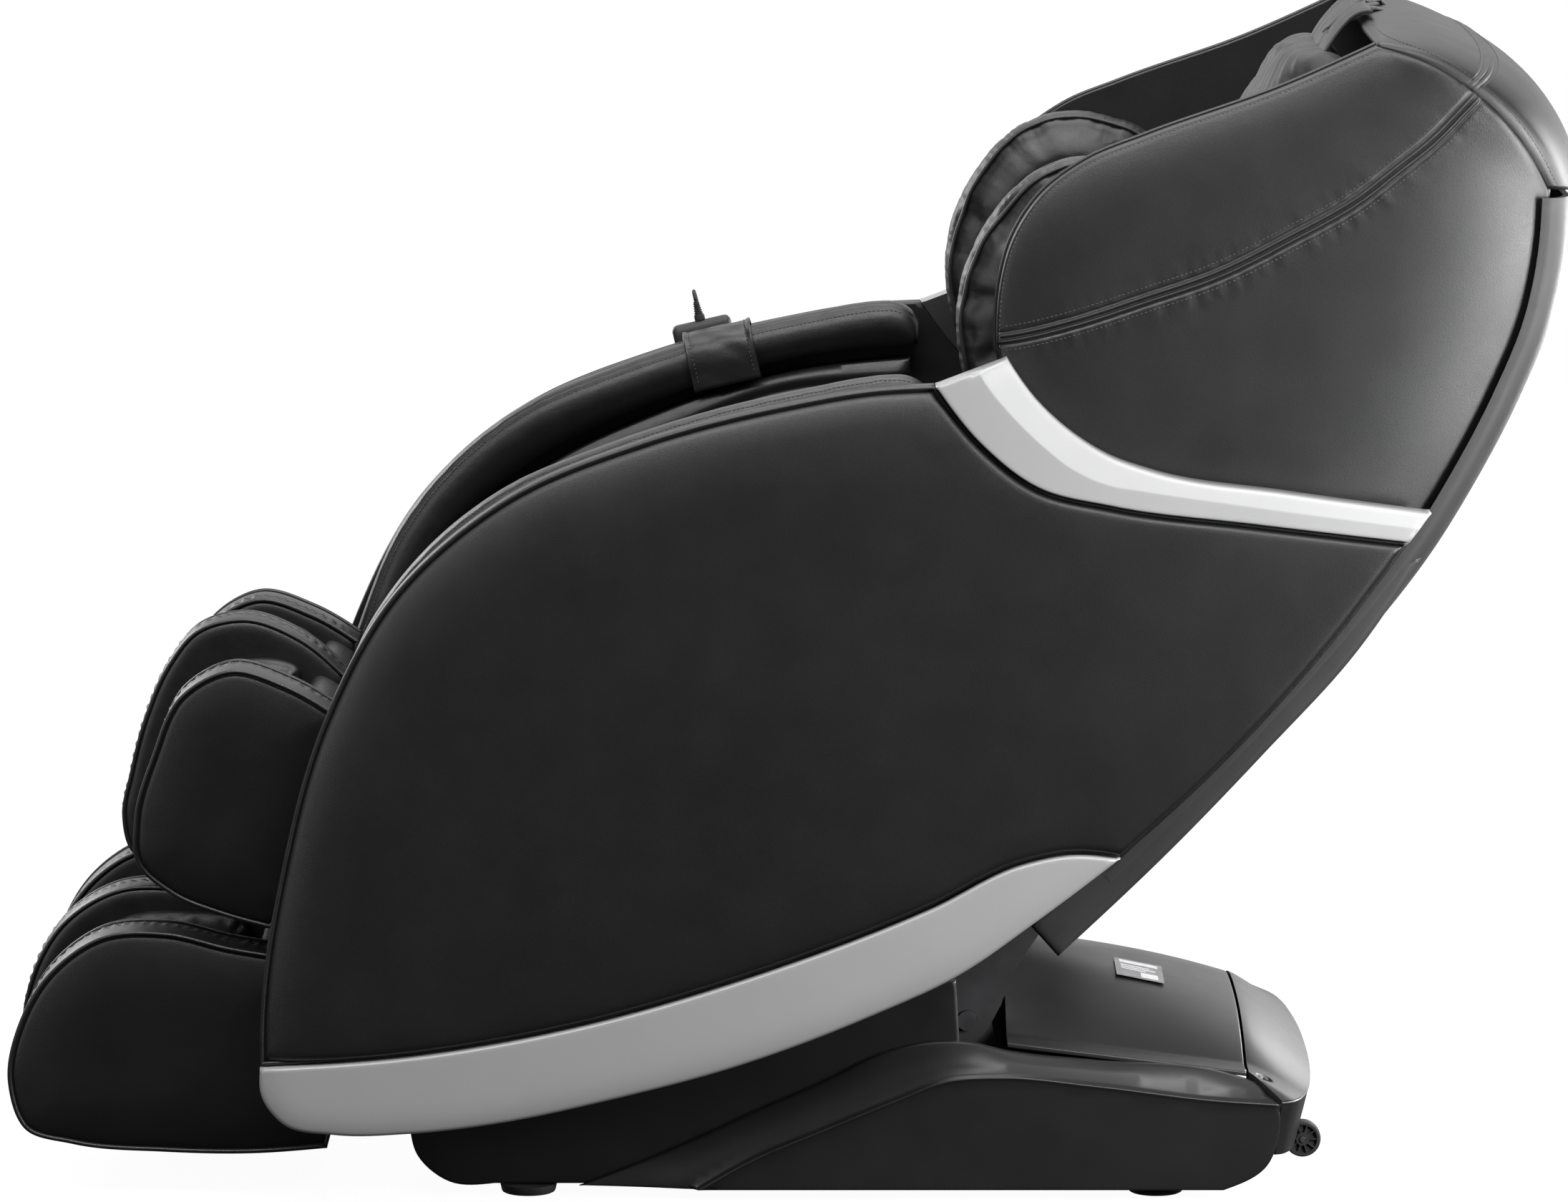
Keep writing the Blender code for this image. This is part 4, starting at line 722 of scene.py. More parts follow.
def floor_and_world():
    """A wide pale floor, and a world that lights softly from above and shows pale to the camera."""
    bm = bmesh.new()
    bmesh.ops.create_grid(bm, x_segments=1, y_segments=1, size=60.0)
    mesh = bpy.data.meshes.new("floor")
    bm.to_mesh(mesh)
    bm.free()
    floor = linked("floor", mesh)
    floor.location.z = -0.0005
    floor.visible_glossy = False
    floor.visible_diffuse = False
    pale = bpy.data.materials.new("pale_floor")
    pale.use_nodes = True
    shader = pale.node_tree.nodes["Principled BSDF"]
    shader.inputs["Base Color"].default_value = (0.06, 0.06, 0.06, 1.0)
    shader.inputs["Roughness"].default_value = 0.9
    shader.inputs["Specular IOR Level"].default_value = 0.1
    shader.inputs["Emission Color"].default_value = (1.0, 1.0, 1.0, 1.0)
    shader.inputs["Emission Strength"].default_value = 0.96
    mesh.materials.append(pale)

    world = bpy.data.worlds.new("studio")
    scene.world = world
    world.use_nodes = True
    tree = world.node_tree
    tree.nodes.clear()
    out = tree.nodes.new("ShaderNodeOutputWorld")
    lit, seen, pick = (tree.nodes.new(k) for k in ("ShaderNodeBackground", "ShaderNodeBackground",
                                                   "ShaderNodeMixShader"))
    rays = tree.nodes.new("ShaderNodeLightPath")
    where = tree.nodes.new("ShaderNodeTexCoord")
    split = tree.nodes.new("ShaderNodeSeparateXYZ")
    tree.links.new(where.outputs["Generated"], split.inputs["Vector"])

    def graded(axis, low, high, start, end):
        grade = tree.nodes.new("ShaderNodeMapRange")
        grade.interpolation_type = "SMOOTHSTEP"
        tree.links.new(split.outputs[axis], grade.inputs["Value"])
        for key, value in (("From Min", low), ("From Max", high), ("To Min", start), ("To Max", end)):
            grade.inputs[key].default_value = value
        return grade.outputs["Result"]

    total = tree.nodes.new("ShaderNodeMath")
    total.operation = "ADD"
    tree.links.new(graded("Z", -0.1, 1.0, 0.045, 0.38), total.inputs[0])
    tree.links.new(graded("Y", 0.0, 1.0, 0.0, 0.75), total.inputs[1])
    above = tree.nodes.new("ShaderNodeMath")
    above.operation = "MULTIPLY"
    tree.links.new(total.outputs["Value"], above.inputs[0])
    tree.links.new(graded("Z", -0.25, 0.05, 0.25, 1.0), above.inputs[1])
    tree.links.new(above.outputs["Value"], lit.inputs["Strength"])
    lit.inputs["Color"].default_value = (1.0, 1.0, 1.0, 1.0)
    seen.inputs["Color"].default_value = (1.0, 1.0, 1.0, 1.0)
    seen.inputs["Strength"].default_value = 1.0
    tree.links.new(rays.outputs["Is Camera Ray"], pick.inputs["Fac"])
    tree.links.new(lit.outputs["Background"], pick.inputs[1])
    tree.links.new(seen.outputs["Background"], pick.inputs[2])
    tree.links.new(pick.outputs["Shader"], out.inputs["Surface"])


floor_and_world()
softbox("overhead", (0.2, 0.3, 3.4), (0.0, 0.0, 0.5), (3.0, 2.4), 85.0)
softbox("high_front", (0.0, -2.7, 3.5), (0.0, 0.0, 0.55), (4.2, 0.9), 150.0)
softbox("front_side", (-3.1, -2.7, 1.5), (-0.35, -0.2, 0.5), (0.9, 2.4), 30.0)
softbox("rear_side", (1.50, -1.35, 0.80), (0.68, -0.3, 0.80), (0.45, 0.9), 42.0)
softbox("low_rear", (1.9, -0.5, 0.9), (0.50, 0.0, 0.10), (0.7, 0.7), 24.0)
softbox("rim_glow", (1.35, 0.95, 0.7), (0.50, 0.0, 0.10), (0.5, 0.5), 15.0)
softbox("behind_right", (3.2, 1.2, 1.2), (0.4, 0.0, 0.2), (1.6, 1.4), 90.0)
softbox("far_front", (-2.6, 3.0, 1.9), (-0.2, 0.2, 0.6), (1.2, 2.0), 50.0)

# ---------------------------------------------------------------- remote cord

REMOTE_Y = 0.4035
CORD_KNOTS = [(-0.1017, 0.4035, 0.8267), (-0.1028, 0.4048, 0.8313), (-0.1036, 0.40825, 0.8346),
              (-0.1038, 0.4130, 0.8359), (-0.1036, 0.41775, 0.8346), (-0.1026, 0.4214, 0.8312),
              (-0.1010, 0.4245, 0.8250), (-0.0982, 0.4274, 0.8120), (-0.0952, 0.4288, 0.7950),
              (-0.0920, 0.4290, 0.7700), (-0.0840, 0.4290, 0.6900), (-0.0740, 0.4275, 0.5600),
              (-0.0600, 0.4260, 0.4300), (-0.0400, 0.4250, 0.3500), (-0.0080, 0.4250, 0.3200),
              (0.0190, 0.4220, 0.3420), (0.0270, 0.4130, 0.3900), (0.0270, 0.4010, 0.4150),
              (0.0270, 0.3947, 0.4180)]
CORD_WIDTH = 0.004


def remote_cord():
    """The hanging cord: a tube laid from the gland up to the remote."""
    route = run_through(CORD_KNOTS, 0.003)
    route[:, 1] += MID
    route = evenly(route, 0.003)
    tube = sweep("handset_cord", route, circle(CORD_WIDTH / 2, 12), rubber, across=(0.35, 0.2, 0.91))
    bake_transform(tube)
    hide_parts("remote_cord")


# ---------------------------------------------------------------- side panels, trims


def panel_rise(points, d):
    """Broad soft fall towards the front and top edge, a tight one along the trims and the rear."""
    soft = open_line(PANEL_FRONT, 0.01)
    far = away_from(points, soft)[0]
    top = 0.0145 * swell(far, 0.115)
    return top + 0.0040 * roll(d, 0.007) + 0.0015 * swell(d, 0.04) - 0.0075


def piping(name, line, y, radius, material, sides=8):
    """A round cord along a closed outline at one y."""
    return sweep(name, in_plane(line, y), circle(radius, sides), material, closed=True)


PANEL_FACE, PANEL_INNER, PANEL_CORD = 0.3815, 0.354, 0.3795


def side_panels():
    """Padded outer panels with a piped edge and a soft back."""
    outline = trace(PANEL_FRONT + PANEL_TRIM_EDGE[1:] + PANEL_REAR[1:] + PANEL_LOW_EDGE[1:-1], 0.006)
    face = left_of(outline, 0.0042, closed=True)
    cord_line = left_of(outline, 0.0024, closed=True)
    for tag, side in SIDES:
        skin = pad(f"panel_skin_{tag}", face, side, PANEL_FACE, PANEL_INNER, panel_rise, leather,
                   spacing=0.013)
        cord = piping(f"panel_cord_{tag}", cord_line, side * PANEL_CORD, 0.0023, piping_leather)
        back = pad(f"panel_back_{tag}", left_of(outline, 0.0006, closed=True), side, 0.3785, 0.3525,
                   lambda p, d: 0.002 * roll(d, 0.004) - 0.002, leather, spacing=0.06,
                   insets=(0.0015, 0.004))
        place(joined(f"side_panel_cover_{tag}", [skin, back, cord]), "body_shell", "black_leather",
              [f"side_panel_{tag}"], 0.8)


def lower_trims():
    """Silver trims under the side panels."""
    outline = left_of(trace(LOWER_TRIM_KEEL + PANEL_LOW_EDGE[1:-1], 0.005), 0.0009, closed=True)
    keel = open_line(LOWER_TRIM_KEEL, 0.01)

    def rise(points, d):
        low = away_from(points, keel)[0]
        return 0.0025 * roll(d, 0.0032) + 0.0045 * swell(low, 0.034) - 0.0045

    for tag, side in SIDES:
        trim = pad(f"lower_trim_blade_{tag}", outline, side, 0.3895, 0.353, rise, silver, spacing=0.012)
        place(trim, "body_shell", "silver_satin", [f"lower_trim_{tag}"])


def upper_trims():
    """Faceted silver trims between the side panels and the wings."""
    outline = left_of(trace(PANEL_TRIM_EDGE + UPPER_TRIM_CREST[1:-1], 0.005), 0.0009, closed=True)
    facet = run_through(TRIM_FACET, 0.005)

    def rise(points, d):
        above = np.maximum(away_from(points, facet)[1], 0.0)
        return 0.0022 * roll(d, 0.0026) - 0.0022 - 0.36 * above

    for tag, side in SIDES:
        trim = pad(f"upper_trim_blade_{tag}", outline, side, 0.3915, 0.353, rise, silver, spacing=0.008,
                   lines=[(facet, (-0.0012, 0.0, 0.0012), 0.005)], insets=(0.0006, 0.0013, 0.0026, 0.005))
        trim.data.materials.append(shell_plastic)
        for face in trim.data.polygons:
            if side * face.normal.y < -0.5:
                face.material_index = 1
        place(trim, "body_shell", "silver_satin", [f"upper_trim_{tag}"])


side_panels()
lower_trims()
upper_trims()

# ---------------------------------------------------------------- armrests


def arm_tops():
    """Padded armrest band: a rounded section carried along the crest, with a sewn seam on each shoulder."""
    crest = evenly(run_through(ARM_CREST, 0.006), 0.006)
    under = run_through(ARM_UNDER, 0.006)
    depth = away_from(crest, under)[0] - 0.002
    turns = np.linspace(-1.0, 1.0, 61)
    middle, half = 0.3262, 0.0238
    s = arc_length(crest)
    rings = []
    for k, deep in enumerate(depth):
        over = turns * half
        fall = half * 0.95 * (1.0 - np.maximum(1.0 - np.abs(turns) ** 3.2, 0.0) ** 0.55)
        seam = sum(-0.0026 * np.exp(-((turns - c) * half / 0.0012) ** 2) for c in (-0.70, 0.70))
        shoulder = np.exp(-((np.abs(turns) - 0.6) / 0.25) ** 2)
        pucker = 0.00035 * ripple(np.array([s[k]]), 0.035, 5)[0] * shoulder
        end = np.clip((s[k] - s[-1] + 0.034) / 0.034, 0.0, 1.0)
        drop = 0.026 * (1.0 - math.sqrt(1.0 - 0.97 * end ** 2))
        out = -fall + seam + pucker - drop
        over = over * (1.0 - 0.18 * end ** 3)
        ring = [(-deep, over[0] * 0.96)] + list(zip(out, over)) + [(-deep, over[-1] * 0.96)]
        rings.append(ring)
    rings = np.array(rings)
    for tag, side in SIDES:
        section = rings.copy()
        section[..., 1] *= side
        band = sweep(f"arm_band_{tag}", in_plane(crest, side * middle), section, soft_leather)
        rows = []
        for number, share in enumerate((-0.82, 0.62)):
            j = int(round((share + 1) / 2 * 60))
            tangent = np.gradient(in_plane(crest, 0.0), axis=0)
            tangent /= np.linalg.norm(tangent, axis=1)[:, None]
            out = np.cross(tangent, (0.0, 1.0, 0.0))
            path = (in_plane(crest, side * middle) + out * rings[:, j + 1, :1]
                    + np.array([0.0, side, 0.0]) * rings[:, j + 1, 1:])
            normal = out + np.array([0.0, side * share, 0.0])
            rows.append(stitches(f"arm_row_{tag}_{number}", path[3:-3], normal[3:-3], thread))
        place(joined(f"arm_top_cover_{tag}", [band, *rows]), "body_shell", "black_leather",
              [f"arm_top_{tag}"], 0.7)


FLAP_ROWS = (-0.012, -0.008, -0.005, -0.0025, 0.0, 0.0025, 0.005, 0.008, 0.012)


def arm_linings():
    """Inner wall of the armrest with the swollen air cushion for the forearm."""
    outline = left_of(trace(ARM_LINING, 0.006), 0.004, closed=True)
    flap = run_through([(-0.330, 0.560), (-0.239, 0.640), (-0.140, 0.690), (-0.020, 0.738), (0.120, 0.752)],
                       0.01)

    def rise(points, d):
        near = away_from(points, flap)[0]
        swollen = 0.010 * swell(d, 0.05)
        return swollen - 0.010 - 0.006 * np.exp(-(near / 0.006) ** 2)

    for tag, side in SIDES:
        wall = pad(f"arm_lining_wall_{tag}", outline, -side, -0.3005, -0.347, rise, soft_leather,
                   spacing=0.014, lines=[(flap, FLAP_ROWS, 0.008)])
        place(wall, "body_shell", "black_leather", [f"arm_lining_{tag}"], 0.7)


arm_tops()
arm_linings()

# ---------------------------------------------------------------- wings


def strip_profile(u):
    """Height over a double seam at a distance from its middle: two tucked ridges between grooves."""
    a = np.abs(u)
    ridges = 0.0017 * np.exp(-((a - 0.0028) / 0.0013) ** 2)
    grooves = -0.0016 * np.exp(-(a / 0.0008) ** 2) - 0.0020 * np.exp(-((a - 0.0062) / 0.0012) ** 2)
    return ridges + grooves


STRIP_ROWS = (-0.018, -0.0135, -0.0105, -0.0088, -0.0075, -0.0062, -0.0048, -0.0037, -0.0028, -0.0018,
              -0.0008, 0.0, 0.0008, 0.0018, 0.0028, 0.0037, 0.0048, 0.0062, 0.0075, 0.0088, 0.0105,
              0.0135, 0.018)


WING_HALF, WING_FACE, WING_INNER = 0.3065, 0.3455, 0.2985


def wing_half(points):
    """How far the wing's crowned face stands from the mid-plane, before its seams and puckers."""
    front, rear, join = (open_line(knots, 0.01) for knots in (WING_FRONT, WING_REAR, WING_HOOD_SEAM))
    body = 0.014 * swell(away_from(points, front)[0], 0.10)
    body += 0.022 * swell(away_from(points, rear)[0], 0.19)
    body += 0.002 * swell(away_from(points, join)[0], 0.02)
    return WING_HALF + body


def wings():
    """Crowned leather wings of the backrest with their sewn strip and piping."""
    outline = trace(WING_FRONT + WING_HOOD_SEAM[1:] + WING_REAR[1:] + WING_HEM[1:-1], 0.006)
    face = left_of(outline, 0.0030, closed=True)
    strip = run_through(WING_STRIP, 0.006)

    def rise(points, d):
        u, place_on = away_from(points, strip)[1:]
        body = wing_half(points) - WING_FACE + 0.002 * roll(d, 0.006)
        pucker = 0.0006 * ripple(place_on, 0.022, 11) * np.exp(-np.maximum(np.abs(u) - 0.007, 0.0) / 0.016)
        pucker *= np.where(u < 0, 1.0, 0.5) * (np.abs(u) > 0.0065)
        return body + strip_profile(u) + pucker

    for tag, side in SIDES:
        skin = pad(f"wing_skin_{tag}", face, side, WING_FACE, WING_INNER, rise, leather, spacing=0.011,
                   lines=[(strip, STRIP_ROWS, 0.0045)])
        tree = tree_of(skin)
        rows = []
        for number, offset in enumerate((-0.0118, 0.0118)):
            line = left_of(evenly(strip, 0.004), offset)
            line = line[inside(line, left_of(face, 0.004, closed=True))]
            path, normal = on_surface(tree, in_plane(line, side * 0.5), (0.0, -side, 0.0))
            rows.append(stitches(f"wing_row_{tag}_{number}", path, normal, thread))
        line = evenly(left_of(open_line(WING_FRONT, 0.005), -0.006), 0.004)
        line = line[inside(line, face)]
        path, normal = on_surface(tree, in_plane(line, side * 0.5), (0.0, -side, 0.0))
        if len(path) > 10:
            rows.append(stitches(f"wing_edge_row_{tag}", path, normal, thread))
        cord = sweep(f"wing_cord_{tag}", in_plane(left_of(outline, 0.0022, closed=True), side * 0.3085),
                     circle(0.0021, 8), piping_leather, closed=True)
        place(joined(f"wing_cover_{tag}", [skin, cord, *rows]), "backrest", "black_leather",
              [f"wing_{tag}"], 0.7)


wings()

# ---------------------------------------------------------------- hood and back shell

BACK_LEAN = math.radians(31.5)
HIP = (0.200, 0.360)


def on_back(up, out):
    """The (x, z) place up the back from the hip axis, and out towards the sitter."""
    return np.array([HIP[0] + up * math.sin(BACK_LEAN) - out * math.cos(BACK_LEAN),
                     HIP[1] + up * math.cos(BACK_LEAN) + out * math.sin(BACK_LEAN)])


HOOD_HALF = 0.3395
STRIP_ON_HOOD = 0.128


def hood():
    """Padded hood over the top, round at its sides, with the double seam carried over it."""
    crown = run_through(HOOD_CROWN, 0.003)
    total = arc_length(crown)[-1]
    rows_at = np.concatenate([np.linspace(0.0, total, 48), STRIP_ON_HOOD + np.array(STRIP_ROWS)])
    at = np.unique(np.round(rows_at, 5))
    crown = np.column_stack([np.interp(at, arc_length(crown), crown[:, k]) for k in (0, 1)])
    seam = evenly(open_line(WING_HOOD_SEAM, 0.003), 0.001)
    seam = np.column_stack([np.interp(at / total, arc_length(seam) / arc_length(seam)[-1], seam[:, k])
                            for k in (0, 1)])
    reach = crown - seam
    depth = np.linalg.norm(reach, axis=1)[:, None]
    out = reach / depth
    share = at / total
    narrow = (wing_half(seam) + 0.0012) / HOOD_HALF
    front = np.sqrt(1.0 - (1.0 - np.clip(at / 0.075, 0.0, 1.0)) ** 2)[:, None]
    swollen = 0.0052 * np.exp(-((share - 0.62) / 0.20) ** 2)[:, None]
    y = HOOD_HALF * np.sin(np.linspace(-math.pi / 2, math.pi / 2, 97))
    y = HOOD_HALF * np.sign(y) * (np.abs(y) / HOOD_HALF) ** 0.8
    rings = []
    for v in y:
        full = max(1.0 - (abs(v) / HOOD_HALF) ** 2.6, 0.0) ** 0.42
        skin = seam + out * ((depth + swollen) * full * front
                             + strip_profile(at - STRIP_ON_HOOD)[:, None] * min(1.0, 4 * full)
                             - 0.0024 + 0.0030 * min(1.0, 4 * full))
        ring = np.vstack([in_plane(skin, v), in_plane(seam[::-1] - out[::-1] * 0.0045, v)])
        ring[:, 1] = MID + (ring[:, 1] - MID) * np.concatenate([narrow, narrow[::-1]])
        rings.append(ring)
    body = loft("hood_body", np.array(rings), leather)
    tree = tree_of(body)
    rows = []
    line = open_line(WING_HOOD_SEAM, 0.004)
    for side in (-1.0, 1.0):
        path, normal = on_surface(tree, in_plane(left_of(line, 0.0065), side * 0.5), (0.0, -side, 0.0))
        if len(path) > 10:
            rows.append(stitches(f"hood_row_{side:+.0f}", path, normal, thread))
    spots = np.linspace(-0.31, 0.31, 160)
    for shift in (-0.0118, 0.0118):
        k = int(np.argmin(np.abs(at - STRIP_ON_HOOD - shift)))
        start = np.tile(crown[k] + out[k] * 0.3, (len(spots), 1))
        origin = np.column_stack([start[:, 0], MID + spots, start[:, 1]])
        path, normal = on_surface(tree, origin, (-out[k, 0], 0.0, -out[k, 1]))
        rows.append(stitches(f"hood_strip_row_{shift:+.3f}", path, normal, thread))
    place(joined("hood_cover", [body, *rows]), "backrest", "black_leather", ["hood"], 0.6)


SHELL_SIDE = 0.338


def back_shell():
    """Moulded rear shell: round at its sides, with a service panel, vents and two cheeks."""
    line = evenly(run_through(SHELL_REAR, 0.005), 0.0042)
    tangent = np.gradient(line, axis=0)
    tangent /= np.linalg.norm(tangent, axis=1)[:, None]
    inward = np.column_stack([tangent[:, 1], -tangent[:, 0]])
    if (inward[:, 0] > 0).mean() > 0.5:
        inward = -inward
    s = arc_length(line)
    y = np.concatenate([-SHELL_SIDE + 0.05 * (1 - np.cos(np.linspace(0, math.pi / 2, 12))[:]),
                        np.arange(-0.284, 0.2841, 0.004),
                        SHELL_SIDE - 0.05 * (1 - np.cos(np.linspace(0, math.pi / 2, 12)))[::-1]])
    rings = []
    for v in y:
        edge = max(abs(v) - (SHELL_SIDE - 0.05), 0.0) / 0.05
        fall = 0.024 * (1.0 - math.sqrt(max(1.0 - edge ** 2, 0.0)))
        frame_gap = np.maximum(np.abs(v) - 0.205, np.abs(s - 0.40) - 0.235)
        groove = 0.0022 * np.exp(-(frame_gap / 0.0022) ** 2)
        raised = -0.0018 * ease(-frame_gap / 0.010)
        slot_at = (s - 0.50) / 0.022
        in_vent = (np.abs(s - 0.555) < 0.060) & (abs(v) < 0.150)
        vent = np.where(in_vent, 0.0045 * np.clip(1.6 * np.cos(2 * math.pi * slot_at) - 0.2, 0.0, 1.0), 0.0)
        sink = fall + groove + raised + vent * ease((0.150 - abs(v)) / 0.006) + 0.0018
        skin = line + inward * sink[:, None]
        inner = line + inward * (fall + 0.0085)
        rings.append(np.vstack([in_plane(skin, v), in_plane(inner[::-1], v)]))
    sheet = loft("shell_sheet", np.array(rings), shell_plastic, sharp=50)
    parts = [sheet]
    cheek = trace([(0.6175, 0.655, 0), (0.5555, 0.5615), (0.4655, 0.4605), (0.3715, 0.361),
                   (0.262, 0.2555, 0), (0.233, 0.288, 0), (0.300, 0.352), (0.390, 0.452), (0.480, 0.560),
                   (0.545, 0.649, 0)], 0.006)
    for tag, side in SIDES:
        parts.append(pad(f"shell_cheek_{tag}", cheek, side, 0.3375, 0.3035,
                         lambda p, d: 0.005 * roll(d, 0.008) - 0.005, shell_plastic, spacing=0.02,
                         insets=(0.001, 0.0025, 0.0045, 0.008)))
    for x_side in (-1.0, 1.0):
        for up in (0.22, 0.58):
            k = int(np.argmin(np.abs(s - up)))
            centre = np.array([line[k, 0], MID + x_side * 0.232, line[k, 1]])
            outward = -inward[k]
            steps = np.array([(0.0, -0.004), (0.0072, -0.004), (0.0072, -0.0004), (0.0062, 0.0004),
                              (0.0034, 0.0004), (0.0030, -0.0008), (0.0, -0.0008)])
            ring = circle(1.0, 20)
            along = np.array([tangent[k, 0], 0.0, tangent[k, 1]])
            facing = np.array([outward[0], 0.0, outward[1]])
            across = np.array([0, 1, 0])
            rings = np.array([[centre + facing * (h - 0.0012) + max(r, 1e-5) * (a * along + b * across)
                               for a, b in ring] for r, h in steps])
            parts.append(loft(f"screw_cap_{x_side:+.0f}_{up}", rings, textured_plastic, sharp=30))
    place(joined("back_shell_cover", parts), "backrest", "shell_plastic", ["back_shell"])


hood()
back_shell()

# ---------------------------------------------------------------- shoulder pads, back pad, head pillow


PAD_OUTER, PAD_INNER = 0.2900, 0.2110


def shoulder_pads():
    """Upright shoulder cushions with piping round both faces and puckers along it."""
    outline = left_of(trace(SHOULDER_OUTLINE, 0.006), 0.002, closed=True)
    core = pad("shoulder_core", left_of(outline, 0.004, closed=True), -1.0, PAD_OUTER, PAD_INNER,
               lambda p, d: 0.020 * roll(d, 0.030) - 0.020, soft_leather, spacing=0.014,
               back_rise=lambda p, d: 0.018 * roll(d, 0.030) - 0.018, band=5, bulge=0.003)
    inflate(core, pressure=4.5, cap=0.006, voxel=0.0055)
    wrinkle(core, outline, 0.030, 0.0013, 0.030, 21)
    wrinkle(core, outline, 0.012, 0.0005, 0.014, 22)
    co = np.array([v.co for v in core.data.vertices])
    co[:, 1] = np.clip(co[:, 1], MID - 0.2955, MID - 0.2055)
    core.data.vertices.foreach_set("co", co.astype(np.float32).ravel())
    tree = tree_of(core)
    cords = []
    for k, y in enumerate((-0.2770, -0.2240)):
        line = in_plane(left_of(outline, 0.0020, closed=True), y)
        snapped = []
        for p in line:
            hit = tree.find_nearest(Vector(p))
            snapped.append((hit[0] + hit[1].normalized() * 0.0012)[:] if hit[0] else p)
        snapped = np.array(snapped)
        for _ in range(6):
            snapped = (np.roll(snapped, 1, axis=0) + 2 * snapped + np.roll(snapped, -1, axis=0)) / 4
        cords.append(sweep(f"shoulder_cord_{k}", snapped, circle(0.0026, 8), piping_leather, closed=True))
    left = joined("shoulder_pad_cover_left", [core, *cords])
    right = mirrored(left, "shoulder_pad_cover_right")
    place(left, "backrest", "black_leather", ["shoulder_pad_left"], 0.8)
    place(right, "backrest", "black_leather", ["shoulder_pad_right"], 0.8)


def rounded_block(name, half, radius, cuts, material):
    """A rounded block about the origin, its faces split evenly."""
    bm = bmesh.new()
    bmesh.ops.create_cube(bm, size=2.0)
    bmesh.ops.subdivide_edges(bm, edges=bm.edges, cuts=cuts, use_grid_fill=True)
    half = np.array(half)
    for v in bm.verts:
        p = np.array(v.co) * half
        core = np.clip(p, -(half - radius), half - radius)
        d = p - core
        size = np.linalg.norm(d)
        if size > 1e-9:
            p = core + d / size * radius
        v.co = p
    mesh = bpy.data.meshes.new(name)
    bm.to_mesh(mesh)
    bm.free()
    mesh.shade_smooth()
    mesh.materials.append(material)
    return linked(name, mesh)


def moved(obj, change):
    """Pass the mesh's points through a function."""
    co = np.array([v.co for v in obj.data.vertices], float)
    obj.data.vertices.foreach_set("co", np.asarray(change(co), np.float32).ravel())
    obj.data.update()
    return obj


def lean_with_back(centre_up, centre_out):
    """A function that takes points in (out, y, up) about a place on the back to the frame's axes."""
    cx, cz = on_back(centre_up, centre_out)
    c, s = math.cos(BACK_LEAN), math.sin(BACK_LEAN)

    def change(co):
        out, y, up = co.T
        return np.column_stack([cx + up * s - out * c, MID + y, cz + up * c + out * s])
    return change


def back_pad():
    """Long back cushion in soft sewn sections between two rolled edges."""
    pad_body = rounded_block("back_pad_cover", (0.026, 0.188, 0.362), 0.020, 30, soft_leather)
    inflate(pad_body, pressure=4.0, cap=0.006, voxel=0.008)

    def sections(co):
        out, y, up = co.T
        face = ease((out + 0.010) / 0.020)
        channel = sum(0.009 * np.exp(-((up - c) / 0.006) ** 2)
                      for c in (-0.27, -0.17, -0.07, 0.03, 0.13, 0.23))
        channel = channel * ease((0.150 - np.abs(y)) / 0.02)
        edge = 0.009 * np.exp(-((np.abs(y) - 0.150) / 0.006) ** 2)
        fine = 0.0008 * ripple(y + up * 0.3, 0.03, 31) * np.exp(-((up + 0.27) % 0.10) / 0.02)
        return np.column_stack([np.minimum(out, 0.0285) - face * (channel + edge - fine), y, up])

    moved(pad_body, sections)
    moved(pad_body, lean_with_back(0.470, 0.033))
    place(pad_body, "backrest", "black_leather", ["back_pad"], 0.7)


